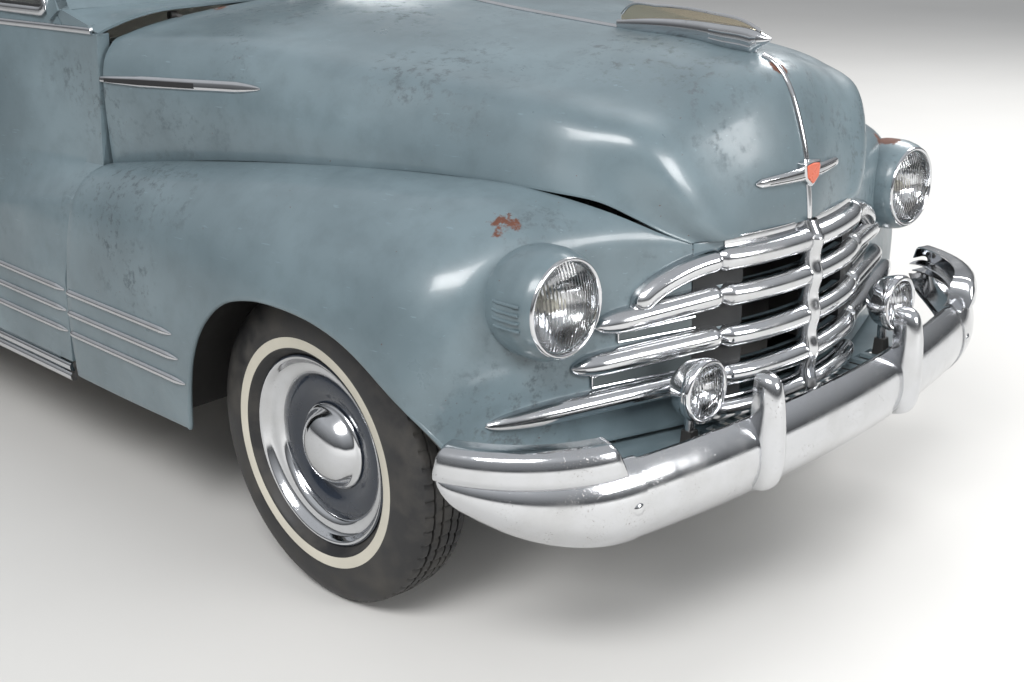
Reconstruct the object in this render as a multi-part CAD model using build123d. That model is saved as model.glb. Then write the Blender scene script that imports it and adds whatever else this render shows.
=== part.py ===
"""Late-1940s two-door fastback saloon car, built up from separate named pieces.

Millimetres. +X runs to the nose, +Y to the car's left, +Z up. The origin lies on the ground,
midway between the bumpers' faces and on the centre line.
"""

import os
from math import asin, cos, degrees, hypot, radians, sin

from build123d import *

os.makedirs("parts", exist_ok=True)

# Overall places
BUMPER_REACH = 2511.5
FRONT_AXLE_X = 1671.0
REAR_AXLE_X = -1275.0
AXLE_Z = 355.0
FRONT_TRACK = 1464.0
REAR_TRACK = 1524.0

# Clearances
SEAT_GAP = 0.3
PIN_PLAY = 0.05
PANEL_GAP = 10.0

# Wheels
TYRE_R = 355.0
TYRE_WIDTH = 159.0
RIM_R = 208.0
RIM_WIDTH = 118.0
WHEEL_BORE_R = 19.0
DRUM_R = 145.0
DRUM_WIDTH = 60.0
HUBCAP_R = 92.0
HUBCAP_DEPTH = 46.0

# Steering and axles
KINGPIN_Y = 650.0
KINGPIN_R = 14.0
YOKE_HEIGHT = 96.0
AXLE_TUBE_R = 38.0
AXLE_HOUSING_R = 135.0
SPRING_Y = 520.0
SPRING_WIDTH = 46.0

# Frame
RAIL_Y = 380.0
RAIL_WIDTH = 60.0
RAIL_TOP = 420.0
RAIL_BOTTOM = 340.0

# Body
WALL = 50.0
GLASS = 6.0
FIREWALL_X = 905.0
FIREWALL_WALL = 45.0
COWL_HALF = 690.0
COWL_SIDE_X = 765.0
DOOR_SILL_Z = 372.0
DOOR_TOP_Z = 1192.0
DOOR_FRONT_LOW_X = 778.0
DOOR_FRONT_HIGH_X = 900.0
DOOR_REAR_X = -330.0
DOOR_REAR_BEVEL = 0.3
FLOOR_Z = 420.0
FLOOR_THICK = 12.0
BOOT_FLOOR_Z = 520.0


def ring(points, kinds):
    """Closed wire through the points: 'l' is a line to the next point, 'a' an arc over the next two."""
    edges = []
    at = 0
    loop = points + [points[0]]
    for kind in kinds:
        if kind == "l":
            edges.append(Edge.make_line(loop[at], loop[at + 1]))
            at += 1
        else:
            edges.append(Edge.make_three_point_arc(loop[at], loop[at + 1], loop[at + 2]))
            at += 2
    return Wire(edges)


def skin(rings):
    """Smooth solid through a row of closed wires."""
    return Solid.make_loft(rings, ruled=False)


def left_and_right(piece):
    """The piece and its mirror image across the centre line."""
    return piece, mirror(piece, about=Plane.XZ)


def block(low, high):
    """Box between two corners."""
    size = [high[i] - low[i] for i in range(3)]
    middle = [(high[i] + low[i]) / 2 for i in range(3)]
    return Pos(*middle) * Box(*size)


def rod(start, end, radius):
    """Round bar between two points."""
    reach = Vector(*end) - Vector(*start)
    return Plane(origin=start, z_dir=reach).location * Pos(0, 0, reach.length / 2) * Cylinder(
        radius, reach.length
    )


def side_prism(points, y_low, y_high):
    """Prism across the car with its outline given as (x, z) points."""
    face = Face(Wire.make_polygon([(x, y_low, z) for x, z in points], close=True))
    return Solid.extrude(face, Vector(0, y_high - y_low, 0))


def plan_prism(points, z_low, z_high):
    """Upright prism with its outline given as (x, y) points."""
    face = Face(Wire.make_polygon([(x, y, z_low) for x, y in points], close=True))
    return Solid.extrude(face, Vector(0, 0, z_high - z_low))


def half_space(origin, normal):
    """Big block on the side of a plane that its normal points to."""
    size = 4000.0
    return Plane(origin=origin, z_dir=normal).location * Pos(0, 0, size / 2) * Box(size, size, size)


def turned(profile, centre_y, centre_x):
    """Solid turned about the wheel axis, from a closed outline of (radius, y) points and edge kinds."""
    points, kinds = profile
    outline = ring([(centre_x + r, centre_y + y, AXLE_Z) for r, y in points], kinds)
    axis = Axis((centre_x, centre_y, AXLE_Z), (0, 1, 0))
    return revolve(Face(outline), axis, 360)


def write(name, shape):
    export_step(shape, f"parts/{name}.step")


# Body shell surface: x, then (y, z) of sill, lower side, belt, upper side, roof rail, and crown height
BODY_ROWS = (
    (905, (884, 335), (868, 700), (790, 1195), (738, 1362), (634, 1486), 1540),
    (420, (886, 330), (870, 700), (795, 1196), (748, 1392), (642, 1562), 1660),
    (-150, (886, 330), (868, 700), (793, 1190), (742, 1390), (632, 1565), 1690),
    (-700, (880, 330), (860, 690), (775, 1168), (720, 1358), (605, 1522), 1655),
    (-1200, (862, 345), (838, 680), (735, 1105), (668, 1268), (542, 1402), 1532),
    (-1700, (800, 365), (772, 640), (655, 975), (585, 1108), (452, 1222), 1328),
    (-2150, (690, 400), (668, 585), (562, 800), (492, 892), (365, 972), 1042),
    (-2385, (575, 440), (560, 545), (470, 665), (405, 716), (300, 760), 792),
)


def body_ring(row, inset):
    """Cross-section of the body, moved in by inset. The inner ones run out of the open bottom."""
    x, sill, lower, belt, upper, rail, crown = row
    drop = 120 if inset else 0
    left = [
        (sill[0] - inset, sill[1] - drop),
        (lower[0] - inset, lower[1]),
        (belt[0] - inset, belt[1]),
        (upper[0] - inset, upper[1]),
        (rail[0] - 0.8 * inset, rail[1] - 0.6 * inset),
    ]
    points = [(x, y, z) for y, z in left] + [(x, 0, crown - inset)]
    points += [(x, -y, z) for y, z in reversed(left)]
    return ring(points, "aaaaal")


def body_solid(inset):
    return skin([body_ring(row, inset) for row in BODY_ROWS])


# Windscreen: two flat panes in a shallow V
SCREEN_BASE_X = 860.0
SCREEN_BASE_Z = 1240.0
SCREEN_HEAD_X = 630.0
SCREEN_HEAD_Z = 1575.0
SCREEN_SWEEP = 0.16
COWL_TOP_Z = 1238.0
GUTTER_Z = 1180.0
GUTTER_X = 862.0


def screen_normal(side):
    """Outward normal of one windscreen pane."""
    rake = Vector(SCREEN_HEAD_X - SCREEN_BASE_X, 0, SCREEN_HEAD_Z - SCREEN_BASE_Z)
    across = Vector(-SCREEN_SWEEP, side, 0)
    normal = across.cross(rake).normalized()
    return normal if normal.X > 0 else normal * -1


def in_front_of_screen(depth):
    """All the space ahead of the windscreen's planes once they are moved back by depth."""
    space = None
    for side in (1, -1):
        normal = screen_normal(side)
        origin = Vector(SCREEN_BASE_X, 0, SCREEN_BASE_Z) - normal * depth
        half = half_space(origin, normal) & block((-3000, min(0, side * 3000), -100),
                                                  (3000, max(0, side * 3000), 3000))
        space = half if space is None else space + half
    return space


def main_shapes():
    outer = body_solid(0)
    above_cowl = in_front_of_screen(0) & block((0, -1500, COWL_TOP_Z), (2000, 1500, 3000))
    gutter = block((GUTTER_X, -1500, GUTTER_Z), (FIREWALL_X + 1, 1500, 3000))
    outer = outer - above_cowl - gutter
    cavity = body_solid(WALL) & block((-2330, -1500, 0), (FIREWALL_X - FIREWALL_WALL, 1500, 3000))
    cavity = cavity - in_front_of_screen(WALL)
    cavity = cavity - block((GUTTER_X - WALL, -1500, GUTTER_Z - 30), (2000, 1500, 3000))
    for side in (1, -1):
        low, high = sorted((side * (COWL_HALF - WALL), side * 1500))
        cavity = cavity - block((COWL_SIDE_X, low, 0), (2000, high, 3000))
    return outer, cavity


def door_prism(grow):
    """Room of the left door through the side wall, grown by the panel gap for the opening."""
    low_x = DOOR_FRONT_LOW_X + grow
    high_x = DOOR_FRONT_HIGH_X + grow
    rear_x = DOOR_REAR_X - grow
    side = side_prism(
        [
            (low_x, DOOR_SILL_Z - grow),
            (high_x, DOOR_TOP_Z + grow),
            (745 + grow, DOOR_TOP_Z + grow),
            (450 + grow, 1560 + grow),
            (-180 - grow, 1560 + grow),
            (-260 - grow, 1480 + grow),
            (rear_x, DOOR_TOP_Z + grow),
            (rear_x, DOOR_SILL_Z - grow),
        ],
        560,
        1000,
    )
    behind = plan_prism(
        [(rear_x, 1000), (rear_x + DOOR_REAR_BEVEL * 440, 560), (rear_x - 400, 560), (rear_x - 400, 1000)],
        0,
        3000,
    )
    return side - behind - block((COWL_SIDE_X, 0, 0), (2000, COWL_HALF, 3000))


def front_edge_x(z):
    """The door's slanted front edge at a height."""
    share = (z - DOOR_SILL_Z) / (DOOR_TOP_Z - DOOR_SILL_Z)
    return DOOR_FRONT_LOW_X + share * (DOOR_FRONT_HIGH_X - DOOR_FRONT_LOW_X)


# Front fender: x, inner y, inner top z, then (y, z) of hood seam, crown, shoulder, side and foot
FENDER_ROWS = (
    (760, 690, 800, (748, 862), (815, 853), (868, 800), (899, 600), (885, 332)),
    (1150, 440, 880, (708, 912), (800, 893), (866, 820), (901, 600), (886, 332)),
    (1500, 440, 905, (645, 942), (765, 916), (852, 828), (900, 610), (888, 345)),
    (1850, 440, 915, (552, 951), (700, 926), (818, 832), (884, 620), (872, 400)),
    (2080, 400, 905, (508, 944), (645, 914), (770, 830), (842, 640), (826, 430)),
    (2215, 300, 870, (440, 905), (575, 872), (690, 785), (752, 640), (725, 440)),
    (2310, 290, 815, (345, 845), (440, 822), (540, 750), (600, 640), (580, 440)),
)
FENDER_WALL = 35.0
WELL_R = 430.0
APRON_Y = 462.0
NOSE_HALF = 300.0
FACE_X = 2298.0
FACE_SWEEP = 19.6


def fender_ring(row, inset):
    x, inner_y, inner_z, seam, crown, shoulder, side, foot = row
    drop = 200 if inset else 0
    inner_y = APRON_Y if inset else inner_y
    points = [
        (x, inner_y, foot[1] - drop),
        (x, inner_y, inner_z - inset),
        (x, seam[0] - inset / 2, seam[1] - inset),
        (x, crown[0] - inset / 2, crown[1] - inset),
        (x, shoulder[0] - inset, shoulder[1] - inset / 2),
        (x, side[0] - inset, side[1]),
        (x, foot[0] - inset, foot[1] - drop),
    ]
    return ring(points, "llaal")


def arch_prism(side):
    """Opening of the front wheel arch through the fender's side."""
    points = [(1300, 200), (1330, 420), (1405, 602), (1500, 690), (1640, 716), (1790, 706), (1950, 645),
              (2060, 570), (2135, 480), (2150, 200)]
    return side_prism(points, 780 * side, 1000 * side)


def face_plane(depth=0.0):
    """Swept-back plane of the left fender's face beside the grille."""
    normal = Vector(cos(radians(FACE_SWEEP)), sin(radians(FACE_SWEEP)), 0)
    return Plane(origin=Vector(FACE_X, NOSE_HALF, 0) + normal * depth, z_dir=normal)


def ahead_of_face(depth):
    plane = face_plane(depth)
    return half_space(plane.origin, plane.z_dir)


def hood_ring(row, grow, drop, filled):
    """Section of the hood in a plane that tilts towards the nose."""
    x, z, tilt, seam_y, low_y, low_h, top_y, top_h, crown_h = row
    along = Vector(cos(radians(tilt)), 0, sin(radians(tilt)))

    def place(y, h):
        spot = Vector(x, 0, z) + along * h
        return spot.X, y, spot.Z

    def half(inset):
        corner = (low_y - inset, top_h - inset)
        low = (low_y - inset, low_h)
        top = (top_y - 0.7 * inset, top_h - 0.85 * inset)
        middle = ((low[0] + top[0]) / 2, (low[1] + top[1]) / 2)
        bend = tuple(m + (c - m) * 0.44 for m, c in zip(middle, corner))
        return [(seam_y - inset, -drop), low, bend, top], (0, crown_h - inset)

    left, crown = half(-grow)
    outside = [place(*p) for p in left] + [place(*crown)] + [place(-y, h) for y, h in reversed(left)]
    if filled:
        return ring(outside, "laaall")
    left, crown = half(HOOD_WALL)
    inside = [place(*p) for p in left] + [place(*crown)] + [place(-y, h) for y, h in reversed(left)]
    return ring(outside + list(reversed(inside)), "laaalllaaall")


# Hood: x and z of the seam, tilt of the section, seam half width, low side (y, h), top edge (y, h), crown h
HOOD_WALL = 22.0
SEAM_GAP = 6.5
HOOD_ROWS = (
    (864, 872, 81.5, 748, 760, 212, 630, 332, 376),
    (1200, 917, 86, 700, 700, 165, 545, 284, 322),
    (1560, 944, 90, 632, 622, 115, 465, 224, 266),
    (1871, 951, 90, 550, 535, 80, 385, 186, 238),
    (2100, 943, 82, 504, 484, 50, 335, 160, 232),
    (2190, 925, 66, 452, 430, 36, 290, 148, 232),
    (2240, 890, 45, 402, 376, 24, 250, 96, 154),
    (2275, 856, 20, 352, 330, 12, 215, 62, 99),
    (2300, 830, 0, 302, 282, 8, 175, 46, 73),
)
HOOD_NOSE_ROW = 4
HOOD_PIVOT_X = 885.0
HOOD_PIVOT_Z = 1212.0
HOOD_HINGE_Y = 560.0
HINGE_PIN_R = 6.0
HINGE_EYE_R = 12.0


def hood_solid(grow=0.0, drop=0.0, filled=False):
    rows = list(HOOD_ROWS)
    rows[0] = (rows[0][0] - grow,) + rows[0][1:]
    rows[-1] = (rows[-1][0], rows[-1][1] - grow) + rows[-1][2:]
    rings = [hood_ring(row, grow, drop, filled) for row in rows]
    return skin(rings[:HOOD_NOSE_ROW + 1]) + skin(rings[HOOD_NOSE_ROW:])


def chassis():
    profile = [
        (2380, 396), (1900, 396), (1400, RAIL_TOP), (-790, RAIL_TOP), (-1000, 516), (-1550, 516),
        (-1850, 480), (-2150, 480), (-2300, 420), (-2380, 420), (-2380, 345), (-2300, 345),
        (-2150, 410), (-1850, 410), (-1530, 440), (-1020, 440), (-810, 345), (2380, 345),
    ]
    rails = None
    inner = RAIL_Y - RAIL_WIDTH / 2
    for low in (inner, -inner - RAIL_WIDTH):
        rail = side_prism(profile, low, low + RAIL_WIDTH)
        rails = rail if rails is None else rails + rail
    for x, low, high in ((2085, 345, 396), (450, 384, 418), (-650, 390, 418), (-1620, 445, 500), (-2250, 384, 434)):
        rails += block((x - 28, -inner - 1, low), (x + 28, inner + 1, high))
    for side in (1, -1):
        for x, z in ((-640, 345), (-1900, 410)):
            ends = sorted((side * 400, side * (SPRING_Y + SPRING_WIDTH / 2)))
            rails += block((x - 20, ends[0], z - 10), (x + 20, ends[1], z + 30))
    write("frame_rails", rails)


def front_suspension():
    x = FRONT_AXLE_X
    cross = block((x - 60, -430, 258), (x + 60, 430, 344.7))
    for side in (1, -1):
        tower = block((x - 40, min(side * 412, side * 446), 300), (x + 40, max(side * 412, side * 446), 445))
        column = block((x - 16, min(side * 598, side * 621), 264), (x + 16, max(side * 598, side * 621), 443))
        boss = Pos(x, side * KINGPIN_Y, AXLE_Z) * Cylinder(24, YOKE_HEIGHT - 6)
        web = block((x - 13, min(side * 610, side * 645), 318), (x + 13, max(side * 610, side * 645), 392))
        cross += tower + column + boss + web
        for z in (264, 417):
            arm = plan_prism([(x - 60, side * 425), (x + 60, side * 425), (x + 16, side * 610), (x - 16, side * 610)],
                             z, z + 26)
            cross += arm
        cross -= Pos(x, side * KINGPIN_Y, AXLE_Z) * Cylinder(KINGPIN_R + PIN_PLAY, 200)
    write("front_suspension", cross)


def knuckle(side):
    x = FRONT_AXLE_X
    y = side * KINGPIN_Y
    half = YOKE_HEIGHT / 2
    pin = Pos(x, y, AXLE_Z) * Cylinder(KINGPIN_R, YOKE_HEIGHT + 40)
    yoke = pin
    for z in (AXLE_Z + half, AXLE_Z - half - 22):
        yoke += Pos(x, y, z + 11) * Cylinder(26, 22)
        yoke += block((x - 26, min(y, y + side * 36), z), (x + 26, max(y, y + side * 36), z + 22))
    back = sorted((y + side * 27, y + side * 40))
    yoke += block((x - 34, back[0], AXLE_Z - half - 22), (x + 34, back[1], AXLE_Z + half + 22))
    wheel_y = side * FRONT_TRACK / 2
    yoke += rod((x, y + side * 38, AXLE_Z), (x, wheel_y + side * 40, AXLE_Z), WHEEL_BORE_R - PIN_PLAY)
    yoke += rod((x, y + side * 36, AXLE_Z), (x, y + side * 41, AXLE_Z), DRUM_R - 5)
    return yoke


def rear_axle():
    x = REAR_AXLE_X
    half = REAR_TRACK / 2
    axle = rod((x, -half + 44, AXLE_Z), (x, half - 44, AXLE_Z), AXLE_TUBE_R)
    axle += Pos(x, 0, AXLE_Z) * Sphere(AXLE_HOUSING_R)
    axle += rod((x, -half - 40, AXLE_Z), (x, half + 40, AXLE_Z), WHEEL_BORE_R - PIN_PLAY)
    axle += rod((x, 0, AXLE_Z), (502, 0, 330), 32)
    for side in (1, -1):
        axle += rod((x, side * (half - 46), AXLE_Z), (x, side * (half - 41), AXLE_Z), DRUM_R - 5)
        low = side * SPRING_Y - SPRING_WIDTH / 2
        curve = ring([(-640, low, 334.7), (x, low, 270), (-1900, low, 399.7), (-1900, low, 385),
                      (x, low, 250), (-640, low, 320)], "alal")
        axle += Solid.extrude(Face(curve), Vector(0, SPRING_WIDTH, 0))
        axle += block((x - 45, low, 262), (x + 45, low + SPRING_WIDTH, 330))
    write("rear_axle", axle)


def wheel_profile():
    half = RIM_WIDTH / 2
    return [
        (WHEEL_BORE_R, -40), (DRUM_R, -40), (DRUM_R, 16), (196, 16), (196, -half - 1), (217, -half - 1),
        (217, -half + 3), (RIM_R, -half + 3), (RIM_R, half - 3), (217, half - 3), (217, half + 1), (198, half + 1),
        (180, 30), (HUBCAP_R, 26), (HUBCAP_R, 34), (70, 60), (0, 26 + HUBCAP_DEPTH),
        (0, 44), (WHEEL_BORE_R, 44),
    ]


def wheel(side, x, track):
    sign = side
    points = [(r, sign * y) for r, y in wheel_profile()]
    body = turned((points, "l" * len(points)), side * track / 2, x)
    tyre_points = [(RIM_R + 0.3, -46), (275, -TYRE_WIDTH / 2), (338, -62), (TYRE_R, 0), (338, 62),
                   (275, TYRE_WIDTH / 2), (RIM_R + 0.3, 46)]
    tyre = turned((tyre_points, "aaal"), side * track / 2, x)
    return body, tyre


def running_gear():
    front_suspension()
    rear_axle()
    for name, side in (("left", 1), ("right", -1)):
        write(f"knuckle_{name}", knuckle(side))
        for end, x, track in (("front", FRONT_AXLE_X, FRONT_TRACK), ("rear", REAR_AXLE_X, REAR_TRACK)):
            body, tyre = wheel(side, x, track)
            write(f"wheel_{end}_{name}", body)
            write(f"tyre_{end}_{name}", tyre)


def power_train():
    engine = block((1080, -160, 350), (1900, 160, 980))
    engine += plan_prism([(1085, -150), (1085, 150), (900, 110), (503, 90), (503, -90), (900, -110)], 240, 376)
    for low in (160, -349.7):
        engine += block((1450, low, 372), (1550, low + 189.7, 404))
    write("engine", engine)
    write("radiator", block((2060, -250, 396.3), (2110, 250, 850)))
    route = [(1150, -160.3, 420), (1060, -230, 330), (760, -453, 268), (-820, -453, 268), (-1060, -453, 457),
             (-1480, -453, 457), (-1720, -453, 300), (-2400, -453, 300)]
    line = FilletPolyline(*route, radius=55)
    pipe = sweep(Plane(origin=route[0], z_dir=Vector(*route[1]) - Vector(*route[0])).location * Circle(22), path=line)
    pipe += rod((100, -453, 268), (-520, -453, 268), 68)
    pipe -= block((1000, -160.3, 300), (1300, 200, 700))
    pipe += block((-700, -460, 280), (-680, -446, 419.7))
    pipe += block((600, -460, 280), (620, -446, 419.7))
    write("exhaust", pipe)
    write("fuel_tank", block((-2200, -345, 385), (-1760, 345, 519.7)))


DOOR_AXIS_X = 770.0
DOOR_AXIS_Y = 878.0
DOOR_PIN_R = 7.0
DOOR_PIN_REACH = 34.0
STRAP_HALF = 12.0
DOOR_HINGE_Z = (450.0, 640.0)
BOOT_PIVOT_X = -1555.0
BOOT_HINGE_Y = 200.0
BOOT_LID_ROWS = ((-1560, 400), (-1760, 425), (-2050, 395), (-2230, 330), (-2320, 250))
QUARTER_WINDOW = [(-345, 1246), (-318, 1462), (-560, 1455), (-790, 1345), (-815, 1246)]
DOOR_WINDOW = [(672, 1240), (440, 1512), (-130, 1512), (-180, 1450), (-212, 1240)]
REAR_WINDOW = [(-1130, 34), (-1130, 300), (-1400, 330), (-1420, 34)]
SCREEN_PANE = ((24, 42), (655, 50), (588, 360), (24, 378))


def hinge_straps():
    straps = None
    for z in DOOR_HINGE_Z:
        plan = [(862, 688), (882, 688), (788, 826), (776, 872), (764, 872), (773, 822)]
        strap = plan_prism(plan, z - STRAP_HALF, z + STRAP_HALF)
        strap += Pos(DOOR_AXIS_X, DOOR_AXIS_Y, z) * Cylinder(13, 2 * STRAP_HALF)
        strap += Pos(DOOR_AXIS_X, DOOR_AXIS_Y, z) * Cylinder(DOOR_PIN_R, 2 * DOOR_PIN_REACH)
        straps = strap if straps is None else straps + strap
    return straps


def boot_prism(grow):
    half = [(x + (grow if at == 0 else 0) - (grow if at == len(BOOT_LID_ROWS) - 1 else 0), y + grow)
            for at, (x, y) in enumerate(BOOT_LID_ROWS)]
    return plan_prism(half + [(x, -y) for x, y in reversed(half)], 560, 1800)


def screen_prism(side, low, high):
    """Prism square to one pane's plane, between two depths behind it."""
    normal = screen_normal(side)
    across = Vector(-SCREEN_SWEEP, side, 0).normalized()
    rake = Vector(SCREEN_HEAD_X - SCREEN_BASE_X, 0, SCREEN_HEAD_Z - SCREEN_BASE_Z).normalized()
    base = Vector(SCREEN_BASE_X, 0, SCREEN_BASE_Z) - normal * low
    corners = [base + across * u + rake * v for u, v in SCREEN_PANE]
    face = Face(Wire.make_polygon(corners, close=True))
    return Solid.extrude(face, normal * (low - high))


def glass_slab(bottom, top, x_low, x_high, side):
    """Flat sheet of glass along the car between two (y, z) edges."""
    points = [(x_low, side * bottom[0], bottom[1]), (x_low, side * top[0], top[1]),
              (x_low, side * (top[0] - GLASS), top[1]), (x_low, side * (bottom[0] - GLASS), bottom[1])]
    return Solid.extrude(Face(Wire.make_polygon(points, close=True)), Vector(x_high - x_low, 0, 0))


def boot_pivot_z(outer):
    """Height of the outer surface on the centre line at the boot lid's upper edge, with the hinge's rise."""
    probe = outer & block((BOOT_PIVOT_X - 1, -1, 0), (BOOT_PIVOT_X + 1, 1, 3000))
    return probe.bounding_box().max.Z + 8


def coachwork():
    outer, cavity = main_shapes()
    opening = door_prism(PANEL_GAP)
    wells = None
    tubs = None
    for side in (1, -1):
        well = rod((REAR_AXLE_X, side * 640, AXLE_Z), (REAR_AXLE_X, side * 1000, AXLE_Z), 395)
        well += block((REAR_AXLE_X - 395, min(side * 640, side * 1000), 0),
                      (REAR_AXLE_X + 395, max(side * 640, side * 1000), AXLE_Z))
        tub = rod((REAR_AXLE_X, side * 625, AXLE_Z), (REAR_AXLE_X, side * 850, AXLE_Z), 410)
        tub = tub & block((-3000, -1000, 340), (0, 1000, 2000))
        wells = well if wells is None else wells + well
        tubs = tub if tubs is None else tubs + tub
    shell = outer - cavity
    shell += tubs & outer
    shell -= block((REAR_AXLE_X - 120, -660, 300), (REAR_AXLE_X + 120, 660, 500))
    shell -= wells
    shell -= opening + mirror(opening, about=Plane.XZ)
    for side in (1, -1):
        low, high = sorted((side * COWL_HALF, side * 1500))
        shell -= block((772, low, 0), (2000, high, DOOR_TOP_Z + PANEL_GAP))
        shell -= side_prism(QUARTER_WINDOW, side * 500, side * 1000)
        shell -= screen_prism(side, -100, 140)
        shell -= plan_prism([(x, side * y) for x, y in REAR_WINDOW], 1300, 1800)
    shell -= block((700, -1500, 0), (2000, 1500, 425))
    shell -= boot_prism(PANEL_GAP)
    straps = hinge_straps()
    shell += straps + mirror(straps, about=Plane.XZ)
    pivot_z = boot_pivot_z(outer)
    for side in (1, -1):
        y = side * HOOD_HINGE_Y
        foot = block((HOOD_PIVOT_X - 10, y - 20, GUTTER_Z - 1), (HOOD_PIVOT_X + 10, y - 8, HOOD_PIVOT_Z))
        pin = rod((HOOD_PIVOT_X, y - 20, HOOD_PIVOT_Z), (HOOD_PIVOT_X, y + 12, HOOD_PIVOT_Z), HINGE_PIN_R)
        shell += foot + pin
        y = side * BOOT_HINGE_Y
        post = side_prism([(BOOT_PIVOT_X - 6, pivot_z - 3), (BOOT_PIVOT_X + 4, pivot_z + 8),
                           (BOOT_PIVOT_X + 40, pivot_z - 10), (BOOT_PIVOT_X + 60, pivot_z - 60),
                           (BOOT_PIVOT_X + 8, pivot_z - 60)], y - 22, y - 8)
        post += rod((BOOT_PIVOT_X, y - 22, pivot_z), (BOOT_PIVOT_X, y + 12, pivot_z), HINGE_PIN_R)
        shell += post
    write("body_shell", shell)
    print("boot pivot z", pivot_z)

    room = body_solid(WALL + SEAT_GAP) & block((-2329, -1500, 0), (FIREWALL_X - FIREWALL_WALL - SEAT_GAP, 1500, 3000))
    floor = block((-760, -1000, FLOOR_Z + 0.3), (900, 1000, FLOOR_Z + FLOOR_THICK))
    floor += block((-772, -1000, FLOOR_Z + 0.3), (-760, 1000, BOOT_FLOOR_Z + FLOOR_THICK))
    floor += block((-2400, -1000, BOOT_FLOOR_Z), (-760, 1000, BOOT_FLOOR_Z + FLOOR_THICK))
    for side in (1, -1):
        low, high = sorted((side * (COWL_HALF - WALL - SEAT_GAP), side * 1500))
        floor -= block((COWL_SIDE_X - SEAT_GAP, low, 0), (2000, high, 3000))
        low, high = sorted((side * (DOOR_AXIS_Y - WALL - 6), side * 1500))
        floor -= block((DOOR_REAR_X - 2 * PANEL_GAP, low, 0), (2000, high, 3000))
        floor -= rod((REAR_AXLE_X, side * 624.7, AXLE_Z), (REAR_AXLE_X, side * 1000, AXLE_Z), 410.3)
    write("floor_pan", floor & room)

    hollow = body_solid(WALL)
    door = (outer & door_prism(0)) - hollow
    door += (pontoon() & door_prism(0)) - hollow
    door -= side_prism(DOOR_WINDOW, 500, 1000)
    sweep = Pos(DOOR_AXIS_X, DOOR_AXIS_Y, 800) * Cylinder(DOOR_AXIS_Y - COWL_HALF - PANEL_GAP, 3000)
    door -= block((DOOR_AXIS_X - 5, 0, 0), (2000, 1500, 3000)) - sweep
    for z in DOOR_HINGE_Z:
        door -= block((750, 700, z - STRAP_HALF - 2), (1000, 866, z + STRAP_HALF + 2))
        door -= block((DOOR_AXIS_X, 700, z - STRAP_HALF - 2), (1000, DOOR_AXIS_Y + 5, z + STRAP_HALF + 2))
        door -= Pos(DOOR_AXIS_X, DOOR_AXIS_Y, z) * Cylinder(15, 2 * STRAP_HALF + 4)
        door -= Pos(DOOR_AXIS_X, DOOR_AXIS_Y, z) * Cylinder(DOOR_PIN_R + PIN_PLAY, 2 * DOOR_PIN_REACH + 2)
    pane = glass_slab((766, 1236), (648, 1516), -320, 700, 1) & side_prism(inset_outline(DOOR_WINDOW), 500, 1000)
    for name, shape in zip(("left", "right"), left_and_right(door)):
        write(f"door_{name}", shape)
    for name, shape in zip(("left", "right"), left_and_right(pane)):
        write(f"door_glass_{name}", shape)

    panes = [screen_prism(side, 22, 22 + GLASS) for side in (1, -1)]
    write("windscreen", Compound(panes))
    rear = []
    for side in (1, -1):
        rear.append(glass_slab((742, 1244), (652, 1464), -830, -360, side)
                    & side_prism(inset_outline(QUARTER_WINDOW), side * 500, side * 1000))
        slab = side_prism([(-1100, 1516), (-1440, 1400), (-1440, 1394), (-1100, 1510)], -400, 400)
        rear.append(slab & plan_prism([(x, side * y) for x, y in REAR_WINDOW], 1300, 1800))
    write("rear_glass", Compound(rear))

    lid = (outer - cavity) & boot_prism(0)
    for side in (1, -1):
        y = side * BOOT_HINGE_Y
        eye = rod((BOOT_PIVOT_X, y - 7.7, pivot_z), (BOOT_PIVOT_X, y + 12, pivot_z), HINGE_EYE_R)
        eye += side_prism([(BOOT_PIVOT_X, pivot_z + 10), (BOOT_PIVOT_X - 60, pivot_z - 22),
                           (BOOT_PIVOT_X - 80, pivot_z - 75), (BOOT_PIVOT_X - 12, pivot_z - 75),
                           (BOOT_PIVOT_X - 9, pivot_z - 8)], y - 7.7, y + 12)
        eye -= rod((BOOT_PIVOT_X, y - 30, pivot_z), (BOOT_PIVOT_X, y + 30, pivot_z), HINGE_PIN_R + PIN_PLAY)
        lid += eye
    write("boot_lid", lid)
    return outer


def inset_outline(points):
    """Outline shrunk a little about its middle so that the glass clears its frame."""
    middle = [sum(p[i] for p in points) / len(points) for i in (0, 1)]
    widest = max(hypot(p[0] - middle[0], p[1] - middle[1]) for p in points)
    share = 1 - SEAT_GAP / widest
    return [tuple(middle[i] + (p[i] - middle[i]) * share for i in (0, 1)) for p in points]


# Fender's trailing bulge on the door: x, then (y, z) of top, shoulder, side and foot
PONTOON_ROWS = (
    (905, 800, (790, 868), (860, 812), (899, 600), (885, 345)),
    (600, 800, (800, 830), (866, 770), (892, 590), (885, 345)),
    (250, 800, (815, 760), (866, 700), (882, 560), (884, 345)),
)


def pontoon():
    rings = []
    for x, inner, top, shoulder, side, foot in PONTOON_ROWS:
        low = (inner + 20, foot[1] + 30)
        middle = ((top[0] + shoulder[0]) / 2 + 12, (top[1] + shoulder[1]) / 2 + 8)
        points = [low, (inner - 15, top[1] - 30), top, middle, shoulder, side, foot]
        rings.append(ring([(x, y, z) for y, z in points], "llaal"))
    return skin(rings)


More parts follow.
